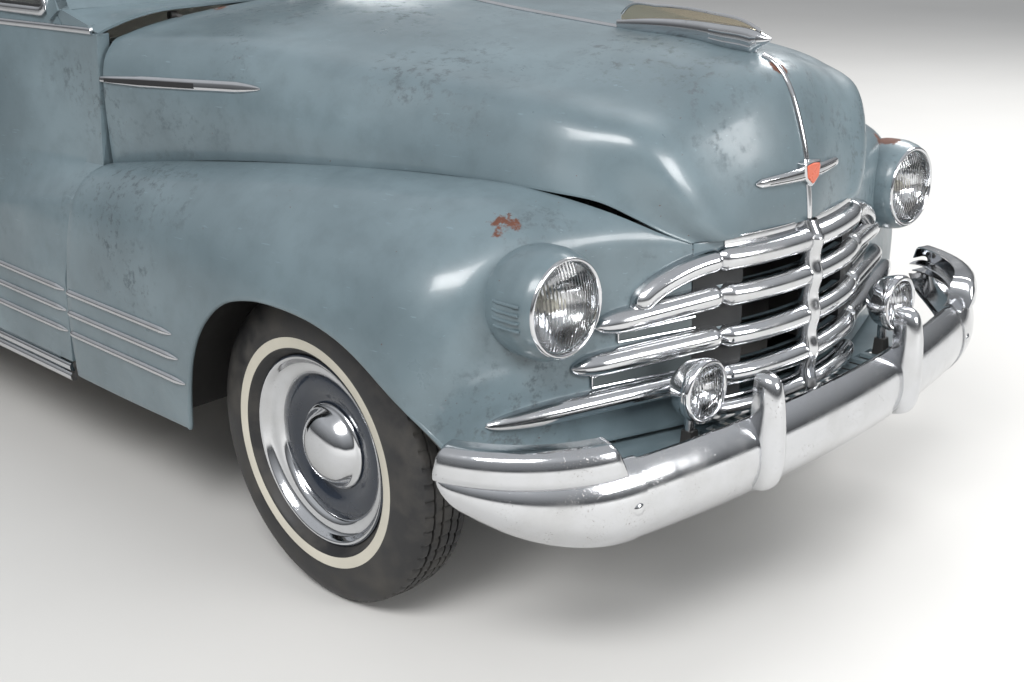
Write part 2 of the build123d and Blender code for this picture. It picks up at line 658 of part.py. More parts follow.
def front_fenders():
    outside = skin([fender_ring(row, 0) for row in FENDER_ROWS])
    inside = skin([fender_ring(row, FENDER_WALL) for row in FENDER_ROWS])
    well = rod((FRONT_AXLE_X, APRON_Y, AXLE_Z), (FRONT_AXLE_X, 1000, AXLE_Z), WELL_R)
    well += block((FRONT_AXLE_X - WELL_R, APRON_Y, 0), (FRONT_AXLE_X + WELL_R, 1000, AXLE_Z))
    fender = outside - (inside & well) - arch_prism(1)
    fender -= side_prism([(600, 0), (front_edge_x(0) + PANEL_GAP + 1, 0), (front_edge_x(1200) + PANEL_GAP + 1, 1200),
                          (600, 1200)], 0, 1000)
    fender -= block((0, 0, 0), (FIREWALL_X + SEAT_GAP, COWL_HALF + SEAT_GAP, 2000))
    fender -= block((0, 0, 0), (FIREWALL_X + SEAT_GAP, 815, 815))
    fender -= block((0, 0, 0), (2060, 440, 2000))
    fender -= block((0, 0, 0), (3000, RAIL_Y + RAIL_WIDTH / 2 + 1, 400))
    fender -= block((FRONT_AXLE_X - 90, 400, 0), (FRONT_AXLE_X + 90, 470, 480))
    fender -= block((2000, 0, 0), (3000, NOSE_HALF + SEAT_GAP, 2000))
    fender -= ahead_of_face(0)
    fender -= hood_solid(SEAM_GAP, SEAM_GAP, True)
    seam = [(row[0] + SEAM_GAP, row[3] + SEAM_GAP / 2) for row in HOOD_ROWS[-3:]]
    fender -= plan_prism([(2150, NOSE_HALF - 10)] + seam[::-1] + [(2150, seam[0][1])], HOOD_ROWS[-1][1] + 4, 1000)
    fender -= rod((2105, HEADLAMP_Y, HEADLAMP_Z), (2400, HEADLAMP_Y, HEADLAMP_Z), HEADLAMP_R + SEAT_GAP)
    for name, shape in zip(("left", "right"), left_and_right(fender)):
        write(f"fender_front_{name}", shape)


# Rear fender: x, inner y, inner top z, then (y, z) of crown, shoulder, side and foot
REAR_FENDER_ROWS = (
    (-470, 780, 640, (835, 632), (868, 590), (878, 480), (876, 345)),
    (-800, 740, 800, (840, 786), (896, 710), (917, 560), (902, 340)),
    (-1275, 690, 862, (820, 846), (902, 752), (933.5, 580), (920, 345)),
    (-1750, 600, 800, (770, 786), (868, 700), (900, 560), (885, 375)),
    (-2100, 480, 690, (650, 678), (745, 622), (775, 540), (765, 430)),
    (-2240, 440, 610, (560, 600), (625, 572), (645, 520), (635, 460)),
)


def rear_fenders(outer):
    rings = []
    for x, inner, top, crown, shoulder, side, foot in REAR_FENDER_ROWS:
        points = [(inner, foot[1]), (inner, top), crown, shoulder, side, foot]
        rings.append(ring([(x, y, z) for y, z in points], "laal"))
    fender = skin(rings) - outer
    x = REAR_AXLE_X
    fender -= rod((x, 600, AXLE_Z), (x, 892, AXLE_Z), 395)
    fender -= block((x - 395, 600, 0), (x + 395, 892, AXLE_Z))
    arch = side_prism([(x - 345, 200), (x - 335, 420), (x - 265, 560), (x - 150, 636), (x, 660),
                       (x + 150, 636), (x + 265, 560), (x + 335, 420), (x + 345, 200)], 700, 1000)
    fender -= arch
    fender = max(fender.solids(), key=lambda s: s.volume)
    for name, shape in zip(("left", "right"), left_and_right(fender)):
        write(f"fender_rear_{name}", shape)


HEADLAMP_X = 2254.0
HEADLAMP_Y = 624.0
HEADLAMP_Z = 767.0
HEADLAMP_R = 112.0
FOG_X = 2392.0
FOG_Y = 366.0
FOG_Z = 557.0


def turned_lamp(points, kinds, x, y, z):
    """Solid turned about a lamp's own axis along the car, from (radius, x) points."""
    outline = ring([(x + a, y, z + r) for r, a in points], kinds)
    return revolve(Face(outline), Axis((x, y, z), (1, 0, 0)), 360)


TAIL_R = 44.0
TAIL_Y = 478.0
TAIL_Z = 590.0


def lamps():
    shells = []
    fogs = []
    lenses = []
    for side in (1, -1):
        shells.append(turned_lamp([(0, -145), (98, -145), (HEADLAMP_R, -75), (HEADLAMP_R, -34), (107.9, -12.5),
                                   (96, 6), (91, 6), (91, -12), (0, -12)], "lllallll", HEADLAMP_X, side * HEADLAMP_Y, HEADLAMP_Z))
        lenses.append(turned_lamp([(0, 18), (50, 13), (90, 0), (90, -11.7), (0, -11.7)], "alll",
                                  HEADLAMP_X, side * HEADLAMP_Y, HEADLAMP_Z))
        fog = turned_lamp([(0, -76), (50, -52), (66, -10), (64, 4), (56, 4), (56, -8), (0, -8)], "alllll",
                          FOG_X, side * FOG_Y, FOG_Z)
        fog += rod((FOG_X - 40, side * FOG_Y, 470), (FOG_X - 40, side * FOG_Y, FOG_Z), 11)
        fog += block((FOG_X - 58, side * FOG_Y - 20, 396.3), (FOG_X - 22, side * FOG_Y + 20, 474))
        fogs.append(fog)
        lenses.append(turned_lamp([(0, 11), (30, 8), (55.7, 0), (55.7, -7.7), (0, -7.7)], "alll",
                                  FOG_X, side * FOG_Y, FOG_Z))
    write("headlamps", Compound(shells))
    write("fog_lamps", Compound(fogs))
    write("lamp_lenses", Compound(lenses))
    tails = []
    rear_face = BODY_ROWS[-1][0] - SEAT_GAP
    for side in (1, -1):
        tails.append(turned_lamp([(0, -38), (0.7 * TAIL_R, -26), (TAIL_R, 0), (0, 0)], "all",
                                 rear_face, side * TAIL_Y, TAIL_Z))
    write("tail_lamps", Compound(tails))


NOSE_ARC_X = 1651.2
NOSE_ARC_R = 714.8
GRILLE_BARS = ((790, 20.5, 46), (713, 17.5, 44), (624, 17.5, 44), (540, 17.5, 44), (464, 22.5, 40))
WING_BARS = (
    ((232, 713), (512, 692), 23),
    ((232, 624), (560, 613), 23),
    ((232, 540), (760, 530), 23),
    ((262, 786), (430, 722), 22),
)


def arc_plate(inner_r, outer_r, z_low, z_high, half_angle):
    """Upright curved plate about the nose's arc centre."""
    start = radians(-half_angle)
    spots = [(inner_r, z_low), (outer_r, z_low), (outer_r, z_high), (inner_r, z_high)]
    points = [(NOSE_ARC_X + r * cos(start), r * sin(start), z) for r, z in spots]
    face = Face(Wire.make_polygon(points, close=True))
    return revolve(face, Axis((NOSE_ARC_X, 0, 0), (0, 0, 1)), 2 * half_angle)


def wing_bar(start, end, radius, side):
    """Half spindle that lies on the fender's swept face: rounded inside end, pointed outside end."""
    plane = face_plane(SEAT_GAP)
    normal = plane.z_dir

    def spot(y, z):
        x = plane.origin.X - (y - plane.origin.Y) * normal.Y / normal.X
        return Vector(x, y, z)

    first = spot(*start)
    last = spot(*end)
    along = (last - first).normalized()
    up = normal.cross(along).normalized()
    length = (last - first).length
    points = [first, first + along * radius * 0.35 + up * radius * 0.76, first + along * radius * 1.2 + up * radius,
              first + along * length * 0.55 + up * radius * 0.93, last]
    outline = ring([tuple(p) for p in points], "aal")
    spindle = revolve(Face(outline), Axis(first, along), 360) & half_space(plane.origin, normal)
    return spindle if side > 0 else mirror(spindle, about=Plane.XZ)


def nose():
    panel = arc_plate(NOSE_ARC_R - 25, NOSE_ARC_R, 430, 822, 25)
    panel = panel & block((2000, -NOSE_HALF, 400), (3000, NOSE_HALF, 900))
    for low, high in ((486, 518), (562, 602), (646, 691), (735, 767)):
        panel -= arc_plate(NOSE_ARC_R - 60, NOSE_ARC_R + 60, low, high, 15)
    panel -= ahead_of_face(0)
    panel -= mirror(ahead_of_face(0), about=Plane.XZ)
    panel -= hood_solid(SEAM_GAP, SEAM_GAP, True)
    write("nose_panel", panel)

    front = NOSE_ARC_R + SEAT_GAP
    grille = block((NOSE_ARC_X + front, -16, 440), (NOSE_ARC_X + front + 34, 16, 818))
    for z, half_angle, height in GRILLE_BARS:
        start = radians(-half_angle)
        spots = [(front, z - height / 2), (front, z + height / 2), (front + 32, z)]
        points = [(NOSE_ARC_X + r * cos(start), r * sin(start), h) for r, h in spots]
        section_ring = ring([points[0], points[2], points[1]], "al")
        grille += revolve(Face(section_ring), Axis((NOSE_ARC_X, 0, 0), (0, 0, 1)), 2 * half_angle)
    write_bars = [grille]
    for start, end, radius in WING_BARS:
        for side in (1, -1):
            write_bars.append(wing_bar(start, end, radius, side))
    fused = write_bars[0]
    for bar in write_bars[1:]:
        fused = fused + bar
    write("grille", fused)

    shield = side_prism([(2180, 429.7), (2368, 429.7), (2450, 408), (2450, 400), (2366, 421), (2180, 421)],
                        -590, 590)
    shield -= bumper_arc_outside(60)
    for at in range(-9, 10):
        shield -= block((2325, at * 44 - 14, 380), (2415, at * 44 + 14, 440))
    for side in (1, -1):
        shield -= block((FOG_X - 60, side * FOG_Y - 22, 380), (FOG_X - 20, side * FOG_Y + 22, 440))
    write("gravel_shield", shield)


BUMPER_X = 2498.0
BUMPER_R = 3222.0
BUMPER_HALF = 620.0
BUMPER_LOW = 330.0
BUMPER_HIGH = 495.0
WING_TIP = (2172.0, 900.0)
GUARD_Y = 268.0


def bumper_arc_outside(depth):
    """Everything ahead of the bumper's inner face moved back by depth."""
    centre = BUMPER_X - BUMPER_R
    big = block((1500, -2000, 0), (4000, 2000, 2000))
    return big - Pos(centre, 0, 500) * Cylinder(BUMPER_R - depth, 3000)


def bumper():
    centre_x = BUMPER_X - BUMPER_R
    swing = 11.1

    def crescent(radius, low, high, origin, angle):
        mid = (low + high) / 2
        spots = [(radius - 30, low), (radius, mid), (radius - 30, high)]
        inner = [(radius - 44, high), (radius - 14, mid), (radius - 44, low)]
        points = [(origin[0] + r * cos(angle), origin[1] + r * sin(angle), z) for r, z in spots + inner]
        return Face(ring(points, "alal"))

    face = crescent(BUMPER_R, BUMPER_LOW, BUMPER_HIGH, (centre_x, 0), radians(-swing))
    bar = revolve(face, Axis((centre_x, 0, 0), (0, 0, 1)), 2 * swing)
    start = (centre_x + BUMPER_R * cos(radians(swing)), BUMPER_R * sin(radians(swing)))
    heading = (-sin(radians(swing)), cos(radians(swing)))
    chord = (WING_TIP[0] - start[0], WING_TIP[1] - start[1])
    reach = hypot(*chord)
    turn = (heading[0] * chord[1] - heading[1] * chord[0]) / reach
    wing_r = reach / (2 * turn)
    origin = (start[0] - heading[1] * wing_r, start[1] + heading[0] * wing_r)
    sweep_deg = 2 * degrees(asin(turn))
    wing_face = crescent(wing_r, BUMPER_LOW, BUMPER_HIGH + 20, origin, radians(swing))
    wing = revolve(wing_face, Axis((origin[0], origin[1], 0), (0, 0, 1)), sweep_deg)
    ledge_spots = [(wing_r - 44, 470), (wing_r - 16, 470), (wing_r - 14, 520), (wing_r - 34, 548), (wing_r - 44, 548)]
    angle = radians(swing + 3)
    ledge_face = Face(Wire.make_polygon([(origin[0] + r * cos(angle), origin[1] + r * sin(angle), z)
                                         for r, z in ledge_spots], close=True))
    wing += revolve(ledge_face, Axis((origin[0], origin[1], 0), (0, 0, 1)), sweep_deg - 5)
    wing -= side_prism([(2500, 200), (2500, 322), (2438, 330), (2100, 418), (2100, 200)], 500, 1000)
    bar += wing + mirror(wing, about=Plane.XZ)
    for side in (1, -1):
        y = side * GUARD_Y
        guard = side_prism([(2440, 345), (2478, 336), (2503, 352), (BUMPER_REACH, 400), (BUMPER_REACH, 500),
                            (2500, 575), (2480, 588), (2458, 575), (2450, 500)], y - 34, y + 34)
        bar += guard
        bar += block((2380.3, side * RAIL_Y - 26, 348), (2465, side * RAIL_Y + 26, 392))
    return bar


def bumpers():
    front = bumper()
    write("bumper_front", front)
    write("bumper_rear", Rot(0, 0, 180) * front)


def hood_pieces():
    hood = hood_solid()
    for side in (1, -1):
        y = side * HOOD_HINGE_Y
        eye = rod((HOOD_PIVOT_X, y - 7.7, HOOD_PIVOT_Z), (HOOD_PIVOT_X, y + 12, HOOD_PIVOT_Z), HINGE_EYE_R)
        eye += side_prism([(HOOD_PIVOT_X, HOOD_PIVOT_Z + 11), (HOOD_PIVOT_X + 30, HOOD_PIVOT_Z + 11),
                           (HOOD_PIVOT_X + 75, HOOD_PIVOT_Z - 22), (HOOD_PIVOT_X + 75, HOOD_PIVOT_Z - 44),
                           (HOOD_PIVOT_X + 42, HOOD_PIVOT_Z - 44), (HOOD_PIVOT_X + 24, HOOD_PIVOT_Z - 6),
                           (HOOD_PIVOT_X, HOOD_PIVOT_Z - 6)], y - 7.7, y + 12)
        eye -= rod((HOOD_PIVOT_X, y - 30, HOOD_PIVOT_Z), (HOOD_PIVOT_X, y + 30, HOOD_PIVOT_Z), HINGE_PIN_R + PIN_PLAY)
        hood += eye
    write("hood", hood)
    spear = side_prism([(1850, 1150), (1846, 1232), (1870, 1246), (2120, 1236), (2215, 1222), (2258, 1198),
                        (2250, 1170), (2200, 1120)], -17, 17)
    write("hood_ornament", Pos(0, 0, 3 * SEAT_GAP) * (spear - hood_solid(0, 0, True)))


STEER_X = 330.0
STEER_Y = 370.0
STEER_Z = 1010.0
STEER_R = 215.0
COLUMN_END = (858.0, 700.0)
DASH_HALF = COWL_HALF - WALL - SEAT_GAP


def interior():
    along = Vector(COLUMN_END[0] - STEER_X, 0, COLUMN_END[1] - STEER_Z).normalized()
    hub = Vector(STEER_X, STEER_Y, STEER_Z)
    flat = Plane(origin=hub, z_dir=along)
    rim = flat.location * Torus(STEER_R, 11)
    rim += rod(tuple(hub - along * 12), tuple(hub + along * 22), 34)
    for turn in (0, 120, 240):
        spoke = flat.location * Rot(0, 0, turn) * Pos(STEER_R / 2, 0, 0) * Box(STEER_R - 4, 20, 8)
        rim += spoke
    rim -= rod(tuple(hub + along * 4), tuple(hub + along * 60), 12 + PIN_PLAY)
    write("steering_wheel", rim)
    column = rod(tuple(hub + along * 5), (COLUMN_END[0], STEER_Y, COLUMN_END[1]), 12)
    column += rod(tuple(hub + along * 22.3), (COLUMN_END[0], STEER_Y, COLUMN_END[1]), 24)
    column -= block((859.7, 0, 0), (1000, 1000, 2000))
    write("steering_column", column)
    dash = side_prism([(612, 930), (574, 1000), (584, 1090), (640, 1146), (859.7, 1146), (859.7, 930)], -DASH_HALF, DASH_HALF)
    write("dashboard", dash - in_front_of_screen(WALL + SEAT_GAP))
    frame = block((-280, -600, 432.3), (300, 600, 600))
    frame += side_prism([(-560, 432.3), (-560, 600), (-1000, 600), (-1000, 532.3), (-759.7, 532.3), (-759.7, 432.3)],
                        -600, 600)
    write("seat_frames", frame)
    front = side_prism([(330, 600.3), (340, 740), (300, 765), (-150, 740), (-245, 1190), (-345, 1200),
                        (-300, 600.3)], -625, 625)
    write("front_seat", front)
    rear = side_prism([(-550, 600.3), (-545, 740), (-590, 770), (-980, 740), (-1090, 1150), (-1190, 1150),
                       (-1100, 600.3)], -600, 600)
    write("rear_seat", rear)


def main():
    chassis()
    running_gear()
    power_train()
    outer = coachwork()
    front_fenders()
    rear_fenders(outer)
    nose()
    bumpers()
    lamps()
    hood_pieces()
    interior()


main()
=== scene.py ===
"""Late-1940s fastback saloon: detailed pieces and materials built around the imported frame."""

import math

import bmesh
import bpy
import numpy as np
from mathutils import Matrix, Vector


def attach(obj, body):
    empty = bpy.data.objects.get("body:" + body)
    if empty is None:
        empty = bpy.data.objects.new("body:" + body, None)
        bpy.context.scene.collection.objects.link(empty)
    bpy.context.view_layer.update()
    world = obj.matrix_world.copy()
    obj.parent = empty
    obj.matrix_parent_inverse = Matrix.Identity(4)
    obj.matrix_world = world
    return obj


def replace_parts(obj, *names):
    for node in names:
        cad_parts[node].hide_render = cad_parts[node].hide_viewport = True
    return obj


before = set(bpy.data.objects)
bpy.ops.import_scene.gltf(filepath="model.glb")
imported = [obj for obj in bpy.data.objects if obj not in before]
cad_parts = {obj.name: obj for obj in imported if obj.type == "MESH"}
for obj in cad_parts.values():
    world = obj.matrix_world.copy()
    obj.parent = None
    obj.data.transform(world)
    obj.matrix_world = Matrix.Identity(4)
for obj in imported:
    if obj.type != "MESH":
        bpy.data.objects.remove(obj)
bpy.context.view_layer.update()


# View: a standing photographer ahead of the right front wheel, looking down over the nose.
# Place in metres, angles in degrees, lens in millimetres.
CAMERA_PLACE = (3.924, -2.406, 1.578)
CAMERA_AZIMUTH = 45.5
CAMERA_DROP = 19.7
CAMERA_ROLL = -1.6
CAMERA_LENS = 48.36


def place_camera():
    a = math.radians(CAMERA_AZIMUTH)
    e = math.radians(CAMERA_DROP)
    r = math.radians(CAMERA_ROLL)
    back = Vector((math.sin(a) * math.cos(e), -math.cos(a) * math.cos(e), math.sin(e)))
    right = (-back).cross(Vector((0, 0, 1))).normalized()
    up = right.cross(-back)
    across = right * math.cos(r) + up * math.sin(r)
    above = -right * math.sin(r) + up * math.cos(r)
    data = bpy.data.cameras.new("camera")
    data.lens = CAMERA_LENS
    data.sensor_width = 36
    camera = bpy.data.objects.new("camera", data)
    turn = Matrix((across, above, back)).transposed().to_4x4()
    camera.matrix_world = Matrix.Translation(CAMERA_PLACE) @ turn
    bpy.context.collection.objects.link(camera)
    bpy.context.scene.camera = camera


place_camera()


# Wheels: pressed steel rims and discs in dark enamel, with a chrome ring and a domed cap snapped on.
# The tyres are moulded rubber with a thin cream band, five tread ribs and cuts across them.
# All lengths from here on are in millimetres unless a comment says otherwise.
MM = 0.001
SIDES = (("left", 1), ("right", -1))
# Each axle's place along the car and half track, and the height of the hubs
AXLES = {"front": (1671.0, 732.0), "rear": (-1275.0, 762.0)}
FRONT_AXLE_X = AXLES["front"][0]
REAR_AXLE_X = AXLES["rear"][0]
AXLE_Z = 355.0
# Tread: points round the tyre, and from cut to cut
TREAD_STEPS = 360
LUG_STEPS = 6
# Radius where the cuts start, their depth on the shoulder and the tread, and the band's radii, in metres
TREAD_R = 0.3475
SHOULDER_CUT = 0.006
TREAD_CUT = 0.0035
WHITE_BAND = (0.2365, 0.2575)


def rounded(points, radius, steps=4, closed=True):
    """Flat outline with its corners rounded off."""
    points = [np.array(p, float) for p in points]
    out = []
    count = len(points)
    for i, corner in enumerate(points):
        if not closed and i in (0, count - 1):
            out.append(corner)
            continue
        before = points[i - 1] - corner
        after = points[(i + 1) % count] - corner
        reach = min(radius, 0.45 * np.linalg.norm(before), 0.45 * np.linalg.norm(after))
        start = corner + before / np.linalg.norm(before) * reach
        end = corner + after / np.linalg.norm(after) * reach
        for k in range(steps + 1):
            t = k / steps
            out.append((1 - t) ** 2 * start + 2 * t * (1 - t) * corner + t**2 * end)
    return np.array(out)


def grid_faces(rows, columns, wrap_rows=False, wrap_columns=False):
    """Four-sided faces of a grid of points, closed round where it wraps."""
    faces = []
    for i in range(rows if wrap_rows else rows - 1):
        below = (i + 1) % rows
        for j in range(columns if wrap_columns else columns - 1):
            beside = (j + 1) % columns
            faces.append((i * columns + j, below * columns + j, below * columns + beside,
                          i * columns + beside))
    return faces


def shade(piece, sharp=35):
    """Smooth shading, with creases over an angle in degrees."""
    mesh = piece.data
    mesh.polygons.foreach_set("use_smooth", [True] * len(mesh.polygons))
    if sharp:
        mesh.set_sharp_from_angle(angle=math.radians(sharp))
    mesh.update()


def make(name, points, faces, finish, body="body", slot=None):
    """Mesh piece in metres that rides on a body. finish is one material, or a list: face, then inside.

    A slot is worked out, chrome_trim for bright pieces and body_paint for others unless one is given, but it
    is not used."""
    mesh = bpy.data.meshes.new(name)
    mesh.from_pydata([tuple(p) for p in np.asarray(points, float)], [], [tuple(f) for f in faces])
    coats = finish if isinstance(finish, list) else [finish]
    for coat in coats:
        mesh.materials.append(coat)
    mesh.validate()
    piece = bpy.data.objects.new(name, mesh)
    bpy.context.collection.objects.link(piece)
    shade(piece)
    slot = slot or ("chrome_trim" if "chrome" in coats[0].name else "body_paint")
    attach(piece, body)
    return piece


def outward(piece):
    """Merges doubled points and turns the faces outwards."""
    tool = bmesh.new()
    tool.from_mesh(piece.data)
    bmesh.ops.remove_doubles(tool, verts=tool.verts, dist=1e-5)
    bmesh.ops.recalc_face_normals(tool, faces=tool.faces)
    tool.to_mesh(piece.data)
    tool.free()


def solid(name, points, faces, finish, sharp=35, **words):
    """Closed piece from points in millimetres, its faces turned outwards."""
    piece = make(name, np.asarray(points, float).reshape(-1, 3) * MM, faces, finish, **words)
    outward(piece)
    shade(piece, sharp)
    return piece


def lathe(name, profile, place, axis, finish, steps=96, **words):
    """Piece turned about a line. profile has (radius, distance along the axis) in millimetres."""
    axis = Vector(axis).normalized()
    side = axis.orthogonal().normalized() if abs(axis.z) > 0.9 else Vector((0, 0, 1)).cross(axis).normalized()
    other = axis.cross(side)
    profile = np.asarray(profile, float)
    turn = np.linspace(0, 2 * math.pi, steps, endpoint=False)
    ways = np.cos(turn)[:, None] * np.array(side)[None] + np.sin(turn)[:, None] * np.array(other)[None]
    points = (
        np.array(place)[None, None]
        + profile[:, 0][:, None, None] * ways[None]
        + profile[:, 1][:, None, None] * np.array(axis)[None, None]
    )
    faces = grid_faces(len(profile), steps, wrap_columns=True)
    return solid(name, points, faces, finish, **words)


def join(name, pieces):
    """One piece out of several that ride on one body."""
    keep = pieces[0]
    with bpy.context.temp_override(active_object=keep, selected_editable_objects=pieces,
                                   selected_objects=pieces):
        bpy.ops.object.join()
    keep.name = name
    keep.data.name = name
    return keep


class Look:
    """Builds one procedural material in object coordinates."""

    def __init__(self, name, colour, roughness, metallic=0.0):
        self.material = bpy.data.materials.new(name)
        self.material.use_nodes = True
        self.tree = self.material.node_tree
        self.shader = self.tree.nodes["Principled BSDF"]
        self.shader.inputs["Base Color"].default_value = (*colour, 1)
        self.shader.inputs["Roughness"].default_value = roughness
        self.shader.inputs["Metallic"].default_value = metallic
        self.place = self.tree.nodes.new("ShaderNodeTexCoord").outputs["Object"]

    def node(self, kind, **inputs):
        node = self.tree.nodes.new(kind)
        for name, value in inputs.items():
            self.feed(node.inputs[name.replace("_", " ")], value)
        return node

    def feed(self, socket, value):
        if isinstance(value, bpy.types.NodeSocket):
            self.tree.links.new(value, socket)
        else:
            socket.default_value = value

    def stretched(self, scale):
        node = self.tree.nodes.new("ShaderNodeMapping")
        node.inputs["Scale"].default_value = scale
        self.tree.links.new(self.place, node.inputs["Vector"])
        return node.outputs["Vector"]

    def noise(self, scale, detail=4.0, roughness=0.55, stretch=None):
        node = self.node("ShaderNodeTexNoise", Scale=scale, Detail=detail, Roughness=roughness)
        self.tree.links.new(self.stretched(stretch) if stretch else self.place, node.inputs["Vector"])
        return node.outputs["Fac"]

    def ramp(self, value, *stops):
        """stops are (position, grey or colour)."""
        node = self.tree.nodes.new("ShaderNodeValToRGB")
        self.tree.links.new(value, node.inputs["Fac"])
        band = node.color_ramp
        while len(band.elements) < len(stops):
            band.elements.new(0.5)
        for element, (at, tone) in zip(band.elements, stops):
            element.position = at
            element.color = (*tone, 1) if isinstance(tone, tuple) else (tone, tone, tone, 1)
        return node.outputs["Color"]

    def sum(self, kind, first, second=0.0):
        node = self.tree.nodes.new("ShaderNodeMath")
        node.operation = kind
        self.feed(node.inputs[0], first)
        self.feed(node.inputs[1], second)
        return node.outputs[0]

    def mix(self, share, first, second):
        node = self.tree.nodes.new("ShaderNodeMix")
        node.data_type = "RGBA"
        self.feed(node.inputs["Factor"], share)
        for socket, value in ((node.inputs[6], first), (node.inputs[7], second)):
            self.feed(socket, (*value, 1) if isinstance(value, tuple) else value)
        return node.outputs[2]

    def spot(self, centre, radius):
        """Ragged patch about a point in metres: 1 inside, 0 outside."""
        node = self.tree.nodes.new("ShaderNodeVectorMath")
        node.operation = "DISTANCE"
        self.tree.links.new(self.place, node.inputs[0])
        node.inputs[1].default_value = centre
        ragged = self.sum("MULTIPLY", self.sum("SUBTRACT", self.noise(30.0, 5.0, 0.65), 0.5),
                          0.6 * radius * 4)
        far = self.sum("ADD", node.outputs["Value"], ragged)
        return self.ramp(self.sum("DIVIDE", far, radius * 2), (0.42, 1.0), (0.52, 0.0))

    def bump(self, height, strength, distance=0.001, after=None):
        node = self.node("ShaderNodeBump", Strength=strength, Distance=distance, Height=height)
        if after is not None:
            self.tree.links.new(after, node.inputs["Normal"])
        return node.outputs["Normal"]

    def set(self, **inputs):
        for name, value in inputs.items():
            if isinstance(value, tuple) and len(value) == 3:
                value = (*value, 1)
            self.feed(self.shader.inputs[name.replace("_", " ")], value)
        return self.material


def plain(name, colour, roughness, metallic=0.0, grain=60.0, shift=0.25, depth=0.1, **extra):
    """Simple finish with colour drift and a fine grain."""
    look = Look(name, colour, roughness, metallic)
    drift = look.noise(grain * 0.12, 4.0)
    colour = look.mix(drift, tuple(c * (1 - shift) for c in colour),
                      tuple(min(1, c * (1 + shift)) for c in colour))
    rough = look.ramp(look.noise(grain * 0.4, 4.0), (0.3, max(0.03, roughness - 0.08)),
                      (0.7, min(1, roughness + 0.1)))
    look.set(Base_Color=colour, Roughness=rough, Normal=look.bump(look.noise(grain * 6, 3.0), depth, 0.0006),
             **extra)
    return look.material


def chrome(name, tint=(0.66, 0.67, 0.69), dull=0.1, pits=0.5):
    """Bright plate, hazed and pitted in places."""
    look = Look(name, tint, dull, 1.0)
    grime = look.ramp(look.noise(9.0, 6.0, 0.65), (0.42, 0.0), (0.72, 1.0))
    pit = look.sum("MULTIPLY", look.ramp(look.noise(230.0, 4.0, 0.7), (0.6, 0.0), (0.66, 1.0)),
                   look.ramp(look.noise(14.0, 3.0, 0.6), (0.48, 0.0), (0.62, pits)))
    colour = look.mix(look.sum("MULTIPLY", grime, 0.28), tint, (0.42, 0.41, 0.38))
    colour = look.mix(pit, colour, (0.16, 0.11, 0.075))
    rough = look.mix(grime, (dull, dull, dull), (dull + 0.16, dull + 0.16, dull + 0.16))
    rough = look.mix(pit, rough, (0.6, 0.6, 0.6))
    look.set(Base_Color=colour, Roughness=rough, Normal=look.bump(pit, 0.25, 0.0004))
    return look.material


def rubber(name):
    """Tyre rubber with road dust on it."""
    look = Look(name, (0.022, 0.022, 0.023), 0.62)
    dust = look.ramp(look.noise(11.0, 5.0, 0.6), (0.42, 0.0), (0.75, 1.0))
    colour = look.mix(look.sum("MULTIPLY", dust, 0.6), (0.018, 0.018, 0.019), (0.1, 0.092, 0.08))
    look.set(Base_Color=colour, Roughness=look.ramp(dust, (0.0, 0.5), (1.0, 0.85)),
             Normal=look.bump(look.noise(300.0, 3.0), 0.15, 0.0006))
    return look.material


RUBBER = rubber("tyre_rubber")
WHITEWALL = plain("cream_whitewall", (0.55, 0.52, 0.44), 0.6, shift=0.18)
WHEEL_BLUE = plain("wheel_enamel", (0.012, 0.018, 0.03), 0.22, shift=0.5, Coat_Weight=0.5)
CLEAN_CHROME = chrome("trim_chrome", (0.7, 0.71, 0.73), 0.06, 0.3)
CHASSIS = plain("chassis_black", (0.03, 0.029, 0.028), 0.55)


def tyre_profile():
    """Outline of the tyre from one bead over the grooved tread to the other: (radius, across)."""
    side = [(209, 47), (222, 58), (231, 69), (234, 74), (238, 76.5), (262, 78.5), (266, 79.3), (270, 79.5),
            (290, 79.0), (310, 76), (326, 71), (335, 66), (341, 61), (346, 57)]
    groove = [(350, 53), (351.5, 46), (351.8, 37.5), (345, 36.5), (345, 32.5), (352.6, 31.5), (353.4, 15.5),
              (346, 14.5), (346, 10.5), (354.2, 9.5), (354.6, 0)]
    left = side + groove
    return [(r, -y) for r, y in left] + [(r, y) for r, y in left[::-1][1:]]


